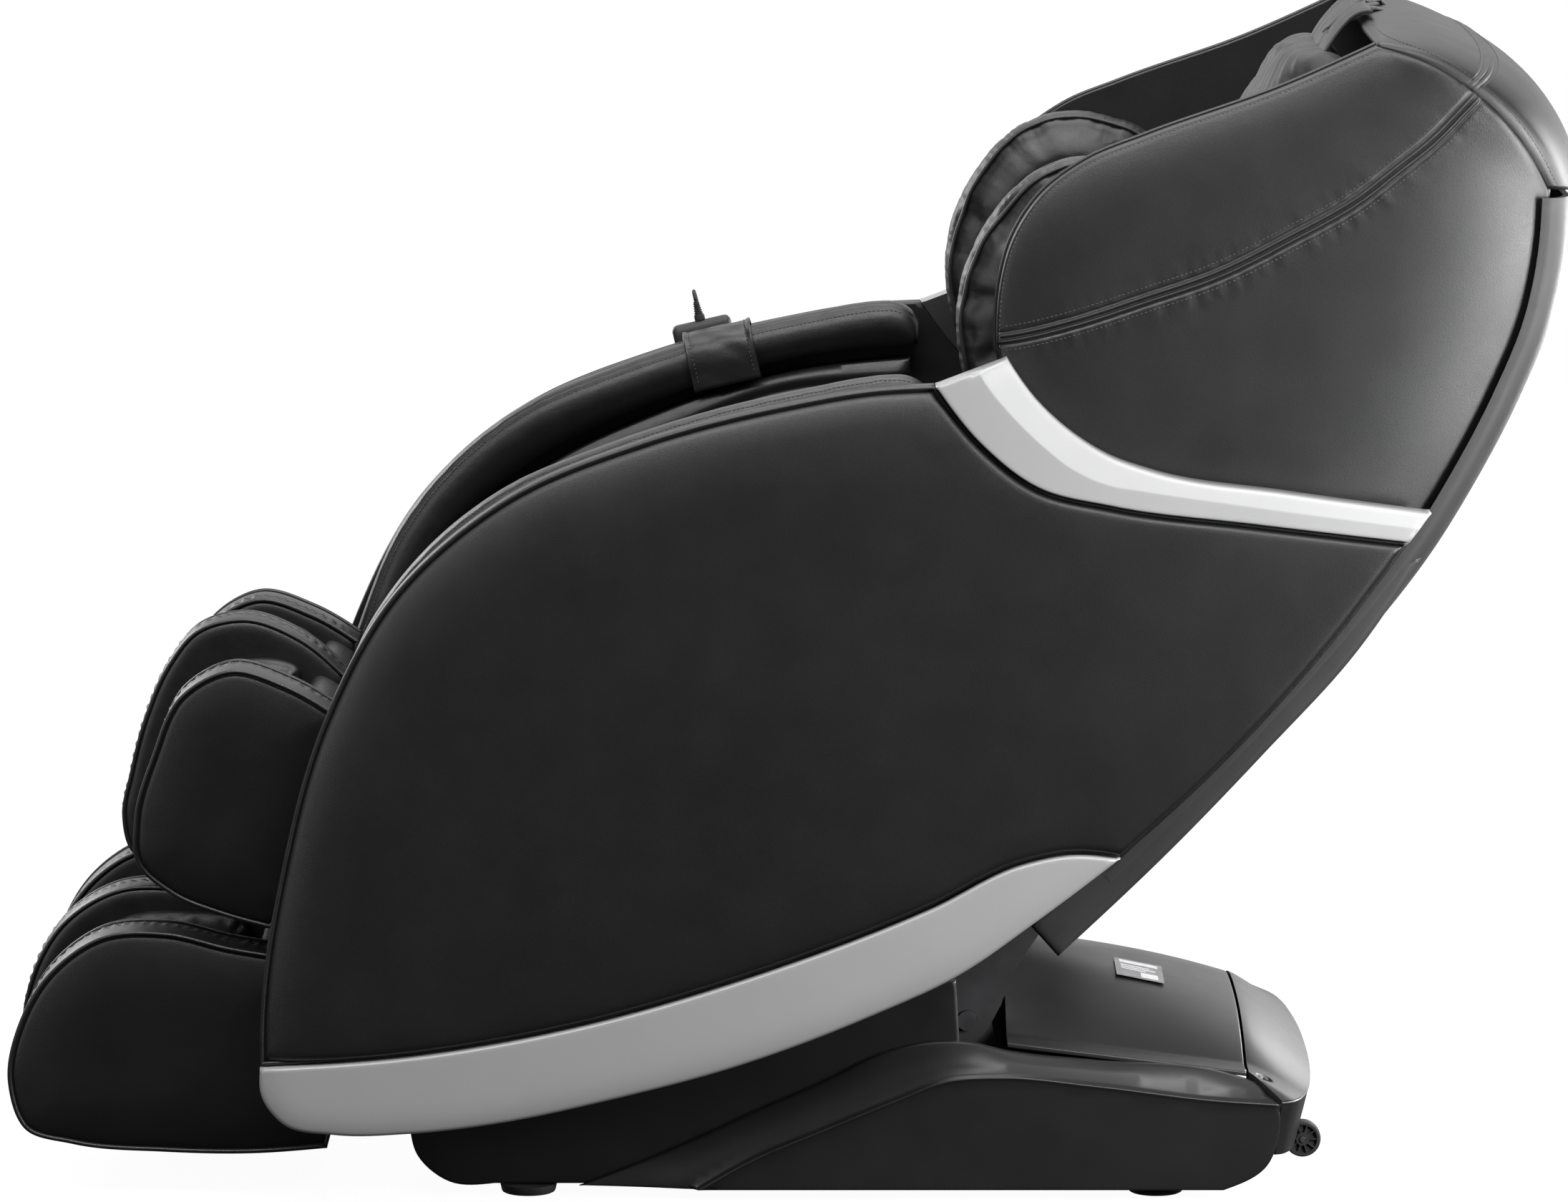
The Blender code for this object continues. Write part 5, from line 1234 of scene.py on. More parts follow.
def head_pillow():
    """Soft head pillow with folds, and its gathered strap over the hood's front edge."""
    cushion = rounded_block("pillow_cushion", (0.034, 0.145, 0.120), 0.030, 22, pillow_leather)
    inflate(cushion, pressure=5.0, cap=0.008, voxel=0.006)

    def folds(co):
        out, y, up = co.T
        face = ease((out + 0.02) / 0.03)
        crease = 0.0045 * ripple(up * 1.0 + y * 0.35, 0.055, 41) * np.exp(-np.abs(y - 0.02) / 0.09)
        fine = 0.0015 * ripple(up * 0.6 - y * 0.8, 0.022, 42)
        sag = 0.010 * (np.abs(y) / 0.145) ** 2
        return np.column_stack([out + face * (crease + fine) - sag * face, y, up])

    moved(cushion, folds)
    moved(cushion, lean_with_back(0.725, 0.110))
    start, end = on_back(0.815, 0.118), np.array([0.580, 1.1755])
    hang = (start + end) / 2 + np.array([-0.006, 0.010])
    path = run_through([start, hang, end - np.array([0.012, 0.002]), end], 0.006)
    over = np.linspace(-1.0, 1.0, 49)
    rings = []
    s = arc_length(path)
    for k in range(len(path)):
        t = s[k] / s[-1]
        half = 0.118 - 0.016 * math.sin(math.pi * t)
        broad, fine = ripple(over * half, 0.050, 43), ripple(over * half + s[k] * 0.2, 0.02, 44)
        wave = (0.0035 * (1 - 0.5 * t)) * (broad * 0.7 + fine * 0.3)
        upper = np.column_stack([wave + 0.0016, over * half])
        lower = np.column_stack([wave - 0.0016, over * half])[::-1]
        rings.append(np.vstack([upper, lower]))
    strap = sweep("pillow_strap", in_plane(path, 0.0), np.array(rings), pillow_leather)
    parts = [cushion, strap]
    for number, (y0, y1, rise) in enumerate(((-0.060, -0.020, 0.016), (-0.020, 0.045, 0.022))):
        loop = run_through([(0.540, MID + y0, 1.1500), (0.556, MID + y0 * 0.8 + y1 * 0.2, 1.1655),
                            (0.574, MID + (y0 + y1) / 2, 1.1590 + rise * 0.8),
                            (0.596, MID + y1, 1.1540 + rise), (0.6135, MID + y1, 1.1600)], 0.004)
        loop[:, 2] = np.minimum(loop[:, 2], 1.1765)
        parts.append(sweep(f"pillow_loop_{number}", loop, circle(1.0, 10) * np.array([0.0022, 0.0105]),
                           pillow_leather))
    pillow = joined("head_pillow_cover", parts)
    place(pillow, "pillow", "pillow_leather", ["head_pillow"], 0.5)


shoulder_pads()
back_pad()
head_pillow()

# ---------------------------------------------------------------- seat

SEAT_OUTLINE = [(-0.380, 0.4205, 0), (-0.392, 0.452), (-0.372, 0.486), (-0.300, 0.497), (-0.150, 0.474),
                (0.000, 0.446), (0.085, 0.432), (0.118, 0.405), (0.110, 0.3475, 0)]


def seat_cushion():
    """Seat cushion with two thigh channels and a rolled front edge."""
    outline = left_of(trace(SEAT_OUTLINE, 0.007), 0.004, closed=True)
    cushion = bolster("seat_cushion_cover", outline, -0.268, 0.268, 0.020, soft_leather, rows=50)
    inflate(cushion, pressure=4.0, cap=0.008, voxel=0.008)

    def sewn(co):
        x, y, z = co.T
        y = y - MID
        top = ease((z - (0.455 - 0.13 * (x + 0.15))) / 0.02)
        middle = 0.010 * np.exp(-(y / 0.007) ** 2)
        sides = 0.009 * np.exp(-((np.abs(y) - 0.205) / 0.007) ** 2)
        across = sum(0.006 * np.exp(-((x - c) / 0.007) ** 2) for c in (-0.26, -0.13, 0.0))
        across = across * ease((0.200 - np.abs(y)) / 0.02)
        fine = 0.0009 * ripple(y, 0.04, 51) * np.exp(-np.abs(x + 0.33) / 0.05)
        return np.column_stack([x, y + MID, z - top * (middle + sides + across - fine)])

    moved(cushion, sewn)
    place(cushion, "body_shell", "black_leather", ["seat_cushion"], 0.7)


seat_cushion()

# ---------------------------------------------------------------- leg rest

LEG_LEAN = math.radians(12.8)


LEG_TOP = (-0.452, 0.490)


def on_leg(down, behind):
    """An (x, z) place down the leg rest from its top hinge and behind it."""
    return np.array([LEG_TOP[0] - down * math.sin(LEG_LEAN) + behind * math.cos(LEG_LEAN),
                     LEG_TOP[1] - down * math.cos(LEG_LEAN) - behind * math.sin(LEG_LEAN)])


PLEAT_HEIGHT, PLEAT_LENGTH, PLEAT_REACH = 0.0017, 0.0105, 0.009


def gathered(obj, outline, y_rows, seed):
    """Close pleats across seams that run round the edge band at given y values."""
    mesh = obj.data
    co = np.array([v.co for v in mesh.vertices])
    normal = np.array([v.normal for v in mesh.vertices])
    s = away_from(co[:, ::2], outline, closed=True)[2]
    d = away_from(co[:, ::2], outline, closed=True)[0]
    lift = np.zeros(len(co))
    for y in y_rows:
        near = np.exp(-((co[:, 1] - MID - y) / PLEAT_REACH) ** 2)
        seam = -0.0016 * np.exp(-((co[:, 1] - MID - y) / 0.0018) ** 2)
        lift += PLEAT_HEIGHT * np.sin(2 * math.pi * s / PLEAT_LENGTH
                                      + 0.8 * ripple(s, 0.05, seed)) * near + seam
    lift *= np.exp(-np.maximum(d - 0.004, 0.0) / 0.01)
    mesh.vertices.foreach_set("co", (co + normal * lift[:, None]).astype(np.float32).ravel())
    mesh.update()


def leg_walls(stem, outline_knots, body, wall_rise, names):
    """Padded outer walls of the leg rest: a smooth outer face, a crowned edge band, piping on both edges."""
    outline = left_of(trace(outline_knots, 0.004), 0.0012, closed=True)
    core = left_of(outline, 0.0035, closed=True)
    for tag, side in SIDES:
        wall = pad(f"{stem}_wall_{tag}", core, side, 0.2805, 0.2075, wall_rise, leather, spacing=0.010,
                   back_rise=lambda p, d: 0.004 * roll(d, 0.010) - 0.004, band=34, bulge=0.0030)
        gathered(wall, core, (side * 0.2300,), 61)
        cords = [piping(f"{stem}_cord_{tag}_{k}", left_of(outline, 0.0024, closed=True), side * y, 0.0024,
                        piping_leather) for k, y in enumerate((0.2790, 0.2085))]
        place(joined(f"{stem}_side_cover_{tag}", [wall, *cords]), body, "black_leather",
              [f"{names}_{tag}"], 0.8)


def outer_wall_rise(points, d):
    """The crown of the outer leg walls, by depth from the edge alone."""
    return 0.0065 * swell(d, 0.075) + 0.003 * roll(d, 0.006) - 0.006


leg_walls("calf", CALF_OUTLINE, "leg_rest", outer_wall_rise, "calf_side")
leg_walls("foot", FOOT_OUTLINE, "foot_rest", outer_wall_rise, "foot_side")


def centre_wall(name, knots, half, inset):
    """The padded wall between the two legs, and the cords along its edges."""
    outline = left_of(trace(knots, 0.004), inset, closed=True)
    core = left_of(outline, 0.004, closed=True)
    wall = pad(name, core, 1.0, half - 0.004, -(half - 0.004), lambda p, d: 0.004 * roll(d, 0.012) - 0.003,
               soft_leather, spacing=0.012, back_rise=lambda p, d: 0.004 * roll(d, 0.012) - 0.003,
               band=34, bulge=0.004)
    gathered(wall, core, (0.0,), 62)
    cords = [piping(f"{name}_cord_{k}", left_of(outline, 0.003, closed=True), y, 0.0022, piping_leather)
             for k, y in enumerate((half - 0.0055, -half + 0.0055))]
    return [wall, *cords]


def air_cushion(name, outline, side, y_face, thick, seed):
    """Swollen air cushion sewn to a wall's inner face."""
    cushion = pad(name, outline, -side, -(y_face - thick * 0.25), -y_face,
                  lambda p, d: thick * 0.75 * roll(d, 0.022), soft_leather, spacing=0.012)
    wrinkle(cushion, outline, 0.022, 0.0016, 0.020, seed)
    return cushion


CENTRE_WALL_HALF, WELL_LOW, WELL_HIGH, AIR_FACE = 0.0355, 0.038, 0.2015, 0.2035


def leg_wells(stem, body, parts, floor, radius, shape, cushion, thick, seed):
    """Both wells of a leg part: a floor between the walls and an air cushion on each wall."""
    for tag, side in SIDES:
        low, high = sorted((side * WELL_LOW, side * WELL_HIGH))
        parts.append(bolster(f"{stem}_floor_{tag}", floor, low, high, radius, soft_leather, rows=30,
                             shape=shape))
        parts.append(air_cushion(f"{stem}_air_outer_{tag}", cushion, side, AIR_FACE, thick[0], seed))
        parts.append(air_cushion(f"{stem}_air_inner_{tag}", cushion, -side, -CENTRE_WALL_HALF, thick[1],
                                 seed + 1))
    place(joined(f"{stem}_liner_cover", parts), body, "black_leather", [f"{stem}_liner"], 0.7)


def calf_liner():
    """Ribbed calf wells between the walls of the leg rest."""
    shape = [(*on_leg(0.012, -0.0025), 0), on_leg(0.004, -0.030), on_leg(0.060, -0.046),
             on_leg(0.170, -0.044), on_leg(0.205, -0.029), (*on_leg(0.198, -0.0025), 0)]
    parts = centre_wall("calf_centre", CALF_CENTRE, CENTRE_WALL_HALF, 0.0010)
    floor = trace([tuple(q) for q in shape], 0.005)

    def ribs(co):
        down = (LEG_TOP[1] - co[:, 2]) * math.cos(LEG_LEAN) - (co[:, 0] - LEG_TOP[0]) * math.sin(LEG_LEAN)
        front = np.array([-math.cos(LEG_LEAN), 0.0, math.sin(LEG_LEAN)])
        lift = 0.0035 * np.cos(2 * math.pi * down / 0.034)
        return co + front * (lift * ease((down - 0.01) / 0.02))[:, None]

    cushion = left_of(trace([(-0.500, 0.500), (-0.560, 0.512), (-0.598, 0.490), (-0.622, 0.440),
                             (-0.636, 0.384), (-0.630, 0.350), (-0.600, 0.325), (-0.545, 0.310),
                             (-0.525, 0.380), (-0.508, 0.450)], 0.005), 0.004, closed=True)
    leg_wells("calf", "leg_rest", parts, floor, 0.008, ribs, cushion, (0.022, 0.018), 63)


def foot_liner():
    """Foot wells with a heel, a floor over the rollers and a toe."""
    heel_top, heel_low = on_leg(0.262, 0.0100), on_leg(0.418, 0.0100)
    shape = [(*heel_top, 0), tuple(on_leg(0.258, -0.020)), tuple(on_leg(0.360, -0.026)), (-0.610, 0.104),
             (-0.700, 0.104), (-0.745, 0.118), (-0.762, 0.108), (-0.750, 0.080, 0), (*heel_low, 0)]
    floor = left_of(trace(shape, 0.005), 0.0006, closed=True)
    knots = [(*on_leg(0.252, 0.0095), 0), (-0.562, 0.256), (-0.627, 0.272), (-0.694, 0.270), (-0.749, 0.237),
             (-0.784, 0.179), (-0.793, 0.120), (-0.776, 0.080, 0), (*on_leg(0.412, 0.0095), 0)]
    parts = centre_wall("foot_centre", knots, CENTRE_WALL_HALF, 0.0015)

    def rollers(co):
        x = co[:, 0]
        top = ease((co[:, 2] - 0.094) / 0.008)
        bump = 0.0040 * np.cos(2 * math.pi * (x + 0.70) / 0.042) * (x < -0.58) * (x > -0.74)
        return co + np.column_stack([0 * x, 0 * x, top * bump])

    cushion = left_of(trace([(-0.560, 0.238), (-0.627, 0.250), (-0.685, 0.244), (-0.728, 0.215),
                             (-0.755, 0.170), (-0.760, 0.135), (-0.700, 0.122), (-0.620, 0.124),
                             (-0.560, 0.150)], 0.005), 0.003, closed=True)
    leg_wells("foot", "foot_rest", parts, floor, 0.006, rollers, cushion, (0.020, 0.016), 65)


calf_liner()
foot_liner()

# ---------------------------------------------------------------- base

COVER_BOTTOM = 0.0105
COVER_RIDGE = [(-0.215, COVER_BOTTOM, 0), (-0.113, 0.052), (-0.042, 0.085), (0.030, 0.117), (0.098, 0.149),
               (0.137, 0.1575), (0.173, 0.1575), (0.212, 0.149), (0.300, 0.139), (0.424, 0.128),
               (0.482, 0.110, 0)]
COVER_END = [(0.4865, 0.098, 0), (0.486, 0.070), (0.474, 0.036), (0.430, COVER_BOTTOM, 0)]
COVER_CREASE = [(-0.095, COVER_BOTTOM), (-0.042, 0.041), (0.030, 0.072), (0.104, 0.103), (0.150, 0.121),
                (0.208, 0.1255), (0.300, 0.117), (0.424, 0.102), (0.4865, 0.098)]
CAP_FRONT, CAP_INNER, CAP_OUTER, CAP_RIM = 0.456, 0.2665, 0.2985, 0.101
CAP_BOTTOM = 0.046
CAP_SLANT = math.radians(24.4)
CAP_FACE = (0.519, 0.070)
HUMP_FRONT, HUMP_LENGTH, HUMP_RISE, HUMP_HALF, DECK_HALF = 0.214, 0.240, 0.055, 0.226, 0.2665


def cut(obj, cutters):
    """Take the cutters out of a closed mesh."""
    for cutter in cutters:
        hole = obj.modifiers.new("hole", "BOOLEAN")
        hole.operation = "DIFFERENCE"
        hole.object = cutter
        hole.solver = "EXACT"
    bake_down(obj)
    for cutter in cutters:
        mesh = cutter.data
        bpy.data.objects.remove(cutter)
        bpy.data.meshes.remove(mesh)
    return obj


BOX_FACES = [[0, 1, 3, 2], [4, 6, 7, 5], [0, 4, 5, 1], [2, 3, 7, 6], [0, 2, 6, 4], [1, 5, 7, 3]]


def block(name, size, centre, turn=0.0):
    """A plain box, turned about y, counted from the chair's middle."""
    c, s = math.cos(turn), math.sin(turn)
    corners = []
    for x in (-0.5, 0.5):
        for y in (-0.5, 0.5):
            for z in (-0.5, 0.5):
                dx, dz = x * size[0], z * size[2]
                corners.append((centre[0] + dx * c + dz * s, MID + centre[1] + y * size[1],
                                centre[2] - dx * s + dz * c))
    return make(name, np.array(corners), BOX_FACES, base_plastic, sharp=30)


def turned(name, profile, origin, axis, material, sides=40, sharp=35):
    """A turned piece: (radius, height) pairs about an axis through the origin."""
    axis = np.array(axis, float) / np.linalg.norm(axis)
    across = np.cross(axis, (0.0, 1.0, 0.0))
    if np.linalg.norm(across) < 0.2:
        across = np.cross(axis, (1.0, 0.0, 0.0))
    across /= np.linalg.norm(across)
    third = np.cross(axis, across)
    ring = circle(1.0, sides)
    rings = [[np.array(origin) + axis * h + max(r, 1e-5) * (a * across + b * third) for a, b in ring]
             for r, h in profile]
    return loft(name, np.array(rings), material, sharp=sharp)


def base_covers():
    """Side covers: a skirt, a crisp crease, and a hollow bevel that rolls up to the ridge."""
    outline = left_of(trace(COVER_RIDGE + COVER_END, 0.005), 0.0004, closed=True)
    crease = run_through(COVER_CREASE, 0.005)
    ridge = open_line(COVER_RIDGE, 0.005)

    def rise(points, d):
        above = away_from(points, crease)[1]
        share = np.clip(above / (np.maximum(above, 0.0) + away_from(points, ridge)[0] + 1e-6), 0.0, 1.0)
        fall = 0.0045 * ease(above / 0.0035) * (above > 0) + 0.0185 * share ** 1.7
        under = 0.0012 * np.exp(-(above / 0.0022) ** 2)
        return 0.0012 * roll(d, 0.0020) - 0.0012 - fall + under

    for tag, side in SIDES:
        cover = pad(f"base_cover_{tag}", outline, side, 0.2985, 0.2690, rise, base_plastic, spacing=0.009,
                    lines=[(crease, (-0.004, -0.0022, -0.001, 0.0, 0.001, 0.0022, 0.004), 0.005)],
                    insets=(0.0005, 0.0012, 0.0022, 0.005, 0.009))

        def mitred(co):
            limit = CAP_FRONT - 0.0012 + np.abs(co[:, 1] - MID) - CAP_INNER
            return np.column_stack([np.minimum(co[:, 0], limit), co[:, 1:]])

        moved(cover, mitred)
        place(cover, "base", "base_plastic", [f"base_side_cover_{tag}"])


def front_box():
    """Front housing: a rounded front wall between two side walls."""
    nose = [(-0.386, 0.149, 0), (-0.386, 0.075), (-0.378, 0.040), (-0.345, 0.0120), (-0.300, COVER_BOTTOM, 0)]
    side_line = nose + [(0.060, COVER_BOTTOM, 0), (0.167, 0.150, 0), (0.1628, 0.2205, 0), (0.020, 0.168, 0),
                        (-0.200, 0.130, 0), (-0.330, 0.112, 0), (-0.350, 0.112, 0)]
    wall_line = nose + [(-0.300, COVER_BOTTOM + 0.005, 0), (-0.340, 0.0180), (-0.370, 0.045),
                        (-0.380, 0.078), (-0.380, 0.149, 0)]
    parts = [bolster("front_wall", trace(wall_line, 0.004), -0.2655, 0.2655, 0.0024, base_plastic)]
    outline = left_of(trace(side_line, 0.006), 0.0006, closed=True)
    for tag, side in SIDES:
        parts.append(pad(f"front_cheek_{tag}", outline, side, 0.2670, 0.2622,
                         lambda p, d: 0.0022 * roll(d, 0.0035) - 0.0022, base_plastic, spacing=0.03,
                         insets=(0.0008, 0.0018, 0.0035)))
    place(joined("front_box_cover", parts), "base", "base_plastic", ["base_front_box"])


HUMP_LEVEL, HUMP_FALL = 0.155, 0.030


def hump_height(x, y):
    """The height of the base's rear cover at a place."""
    along = (x - HUMP_FRONT) / HUMP_LENGTH
    crown = HUMP_RISE * np.maximum(0.0, 1.0 - (np.abs(y) / HUMP_HALF) ** 2.6)
    return HUMP_LEVEL - HUMP_FALL * along + crown * (1.0 - 0.35 * along ** 3)


def soft_hump(x, y):
    """The hump's top with the break between its crown and its brim rounded a little."""
    near = np.linspace(-0.004, 0.004, 5)
    return sum(hump_height(x, y + v) for v in near) / 5.0


def hump_cover():
    """Crowned rear cover with a rolled edge all round."""
    half = DECK_HALF - 0.0006
    edge = np.array([0.0005, 0.0012, 0.0022, 0.004])
    y = np.unique(np.concatenate([np.linspace(-half, half, 90), half - edge, -half + edge,
                                  *[s * (HUMP_HALF + np.linspace(-0.006, 0.006, 9)) for s in (-1, 1)]]))
    x0, x1 = HUMP_FRONT + 0.0004, HUMP_FRONT + HUMP_LENGTH - 0.0004
    x = np.unique(np.concatenate([np.linspace(x0, x1, 46), x1 - edge, x0 + edge[:3]]))
    gx, gy = np.meshgrid(x, y, indexing="ij")
    d = np.minimum(x1 - gx, np.minimum(gy + half, half - gy))
    skin = soft_hump(gx, gy) - 0.0016 * (1 - roll(d, 0.0016))
    inner = soft_hump(gx, gy) - 0.0044
    rings = np.concatenate([np.stack([gx, gy + MID, skin], -1), np.stack([gx, gy + MID, inner], -1)[:, ::-1]],
                           axis=1)
    place(loft("hump_cover", rings, base_plastic, sharp=50), "base", "base_plastic", ["base_hump_cover"])


def end_cap():
    """Rounded rear end: a dome falling from the hump to a crisp rim, undercut behind."""
    plan = run_through([(CAP_FRONT + CAP_OUTER - CAP_INNER, -CAP_OUTER), (0.4955, -0.2955), (0.5040, -0.2850),
                        (0.5115, -0.2640), (0.5185, -0.2250), (0.5240, -0.1650), (0.5280, -0.0850),
                        (0.5290, 0.0)], 0.003)
    plan = evenly(np.vstack([plan, (plan * (1.0, -1.0))[::-1][1:]]), 0.004)
    front = np.column_stack([np.full(len(plan), CAP_FRONT), plan[:, 1] * CAP_INNER / CAP_OUTER])
    high = soft_hump(np.full(len(plan), HUMP_FRONT + HUMP_LENGTH), front[:, 1]) - 0.0006
    rings = []
    for t in np.concatenate([np.linspace(0.0, 0.9, 19), 1.0 - np.array([0.07, 0.045, 0.028, 0.016, 0.007])]):
        flat = front + (plan - front) * t
        z = CAP_RIM + 0.0008 + (high - CAP_RIM) * (1.0 - t ** 1.15)
        rings.append(np.column_stack([flat[:, 0], flat[:, 1] + MID, z]))
    for drop, out in ((0.0, -0.0008), (0.0012, 0.0), (0.0028, -0.0006)):
        flat = plan + (plan - front) / np.linalg.norm(plan - front, axis=1)[:, None] * out
        rings.append(np.column_stack([flat[:, 0], flat[:, 1] + MID, np.full(len(plan), CAP_RIM - drop)]))
    for z in np.linspace(CAP_RIM - 0.005, CAP_BOTTOM, 22):
        limit = CAP_FACE[0] + (z - CAP_FACE[1]) * math.tan(CAP_SLANT)
        flat = front + (plan - front) * (1.0 - 0.2 * (CAP_RIM - z) / (CAP_RIM - CAP_BOTTOM))
        rings.append(np.column_stack([np.minimum(flat[:, 0], limit), flat[:, 1] + MID,
                                      np.full(len(plan), z)]))
    rings.append(np.column_stack([front[:, 0], front[:, 1] + MID, np.full(len(plan), CAP_BOTTOM)]))
    grid = np.array(rings)
    rows, columns = grid.shape[:2]
    verts = grid.reshape(-1, 3)
    faces = []
    for i in range(rows):
        for j in range(columns - 1):
            a, b = i * columns + j, ((i + 1) % rows) * columns + j
            faces.append([a, a + 1, b + 1, b])
    for j in (0, columns - 1):
        faces.append([i * columns + j for i in range(rows)])
    cap = make("end_cap_cover", verts, faces, base_plastic, sharp=38)
    cutters = [block("cap_core", (0.070, 0.440, 0.096), (0.4452, 0.0, 0.0715))]
    for s in (-1.0, 1.0):
        cutters.append(block("cap_notch", (0.120, 0.040, 0.074), (0.540, s * 0.205, 0.036)))
        cutters.append(turned("cap_screw_hole", [(0.0, 0.020), (0.0095, 0.020), (0.0082, -0.002),
                                                 (0.0070, -0.008), (0.0, -0.008)],
                              (0.4700, MID + s * 0.2620, 0.1120), (0.25, s * 0.25, 1.0), base_plastic,
                              sides=24))
    x, z = CAP_FACE[0] + 0.003 * math.cos(CAP_SLANT), CAP_FACE[1] - 0.003 * math.sin(CAP_SLANT)
    for y, size in ((0.060, (0.060, 0.0508, 0.0308)), (0.005, (0.060, 0.0150, 0.0270))):
        cutters.append(block("cap_socket", size, (x, y, z), CAP_SLANT))
    place(cut(cap, cutters), "base", "base_plastic", ["base_end_cap"])


FOOT_Y, WHEEL_Y = 0.250, 0.205
WHEEL_CENTRE = (0.514, 0.045)


def small_base_parts():
    """Rubber feet, ribbed transport wheels with their axle ends, and the rating label."""
    for end, x in (("front", -0.266), ("rear", 0.364)):
        for tag, side in SIDES:
            profile = [(0.0, 0.0), (0.0250, 0.0), (0.0265, 0.0008), (0.0272, 0.0022), (0.0286, 0.0082),
                       (0.0286, 0.0089), (0.0, 0.0089)]
            foot = turned(f"foot_rubber_{end}_{tag}", profile, (x, MID + side * FOOT_Y, 0.0), (0, 0, 1),
                          rubber)
            place(foot, "base", "black_rubber", [f"rubber_foot_{end}_{tag}"])
    for tag, side in SIDES:
        x, z = WHEEL_CENTRE
        centre = (x, MID + side * WHEEL_Y, z)
        out = (0.0, side, 0.0)
        tyre = [(0.0036, -0.0078), (0.0168, -0.0078), (0.0182, -0.0066), (0.0185, -0.0040), (0.0185, 0.0040),
                (0.0182, 0.0066), (0.0168, 0.0078), (0.0146, 0.0078), (0.0142, 0.0040), (0.0070, 0.0040),
                (0.0066, 0.0080), (0.0036, 0.0080)]
        parts = [loft("tyre", np.array([[np.array(centre) + np.array([r * a, side * h, r * b])
                                         for a, b in circle(1.0, 56)] for r, h in tyre + tyre[:1]]),
                      rubber, closed=True, sharp=35)]
        for k in range(10):
            a = 2 * math.pi * k / 10
            mid = np.array([math.cos(a), 0.0, math.sin(a)])
            wide = np.array([-math.sin(a), 0.0, math.cos(a)]) * 0.0007
            path = np.array([np.array(centre) + mid * r for r in (0.0066, 0.0145)])
            corners = [p + w + np.array(out) * h for p in path for w in (wide, -wide)
                       for h in (0.0030, 0.0072)]
            parts.append(make(f"rib_{k}", np.array(corners), BOX_FACES, rubber, sharp=30))
        place(joined(f"wheel_tyre_{tag}", parts), f"wheel_{tag}", "black_rubber", [f"transport_wheel_{tag}"])
        bright = turned(f"wheel_axle_end_{tag}", [(0.0, 0.0090), (0.0026, 0.0090), (0.0030, 0.0086),
                                                  (0.0030, 0.0060), (0.0, 0.0060)], centre, out, zinc,
                        sides=24)
        place(bright, "base", "zinc_steel")
    reach = 0.01
    x, y = 0.355, -0.055
    along = math.atan2(hump_height(x - reach, y) - hump_height(x + reach, y), 2 * reach)
    across = math.atan2(hump_height(x, y + reach) - hump_height(x, y - reach), 2 * reach)
    level = float(hump_height(x, y))
    bits = []
    for name, size, offset, lift, material in (
            ("plate_base", (0.050, 0.070), (0.0, 0.0), 0.0013, foil),
            ("plate_top", (0.040, 0.010), (0.0, 0.024), 0.0016, foil_print),
            ("plate_rows_a", (0.030, 0.003), (-0.004, 0.010), 0.0016, foil_print),
            ("plate_rows_b", (0.036, 0.003), (-0.001, 0.003), 0.0016, foil_print),
            ("plate_rows_c", (0.026, 0.003), (-0.006, -0.004), 0.0016, foil_print),
            ("plate_box", (0.018, 0.018), (0.010, -0.020), 0.0016, foil_print)):
        w, h = size
        ring = trace([(-w / 2, -h / 2, 0), (w / 2, -h / 2, 0), (w / 2, h / 2, 0), (-w / 2, h / 2, 0)], 0.01)
        ring = ring + np.array(offset)
        layers = []
        for z in (lift - 0.0004, lift):
            px, py = ring.T
            wx = x + px * math.cos(along)
            wy = y + py * math.cos(across)
            layers.append(np.column_stack([wx, wy + MID, level + z - px * math.sin(along)
                                           + py * math.sin(across)]))
        bits.append(loft(name, np.array(layers), material, sharp=30))
    place(joined("rating_plate_cover", bits), "base", "label_foil", ["rating_plate"])


base_covers()
front_box()
hump_cover()
end_cap()
small_base_parts()

# ---------------------------------------------------------------- remote control and its pouch

ARM_SLOPE = math.radians(13.0)
REMOTE_TOP = (-0.097, 0.8060)


def on_remote(down, across=0.0):
    """An (x, z) place down the remote's axis from its top and across it."""
    return np.array([REMOTE_TOP[0] + down * math.sin(ARM_SLOPE) + across * math.cos(ARM_SLOPE),
                     REMOTE_TOP[1] - down * math.cos(ARM_SLOPE) + across * math.sin(ARM_SLOPE)])


def in_remote(centre_down, y):
    """Takes points in (across, out, up) about a place on the remote to the frame's axes."""
    cx, cz = on_remote(centre_down)
    c, s = math.cos(ARM_SLOPE), math.sin(ARM_SLOPE)

    def change(co):
        across, out, up = co.T
        return np.column_stack([cx + across * c - up * s, MID + y + out, cz + across * s + up * c])
    return change


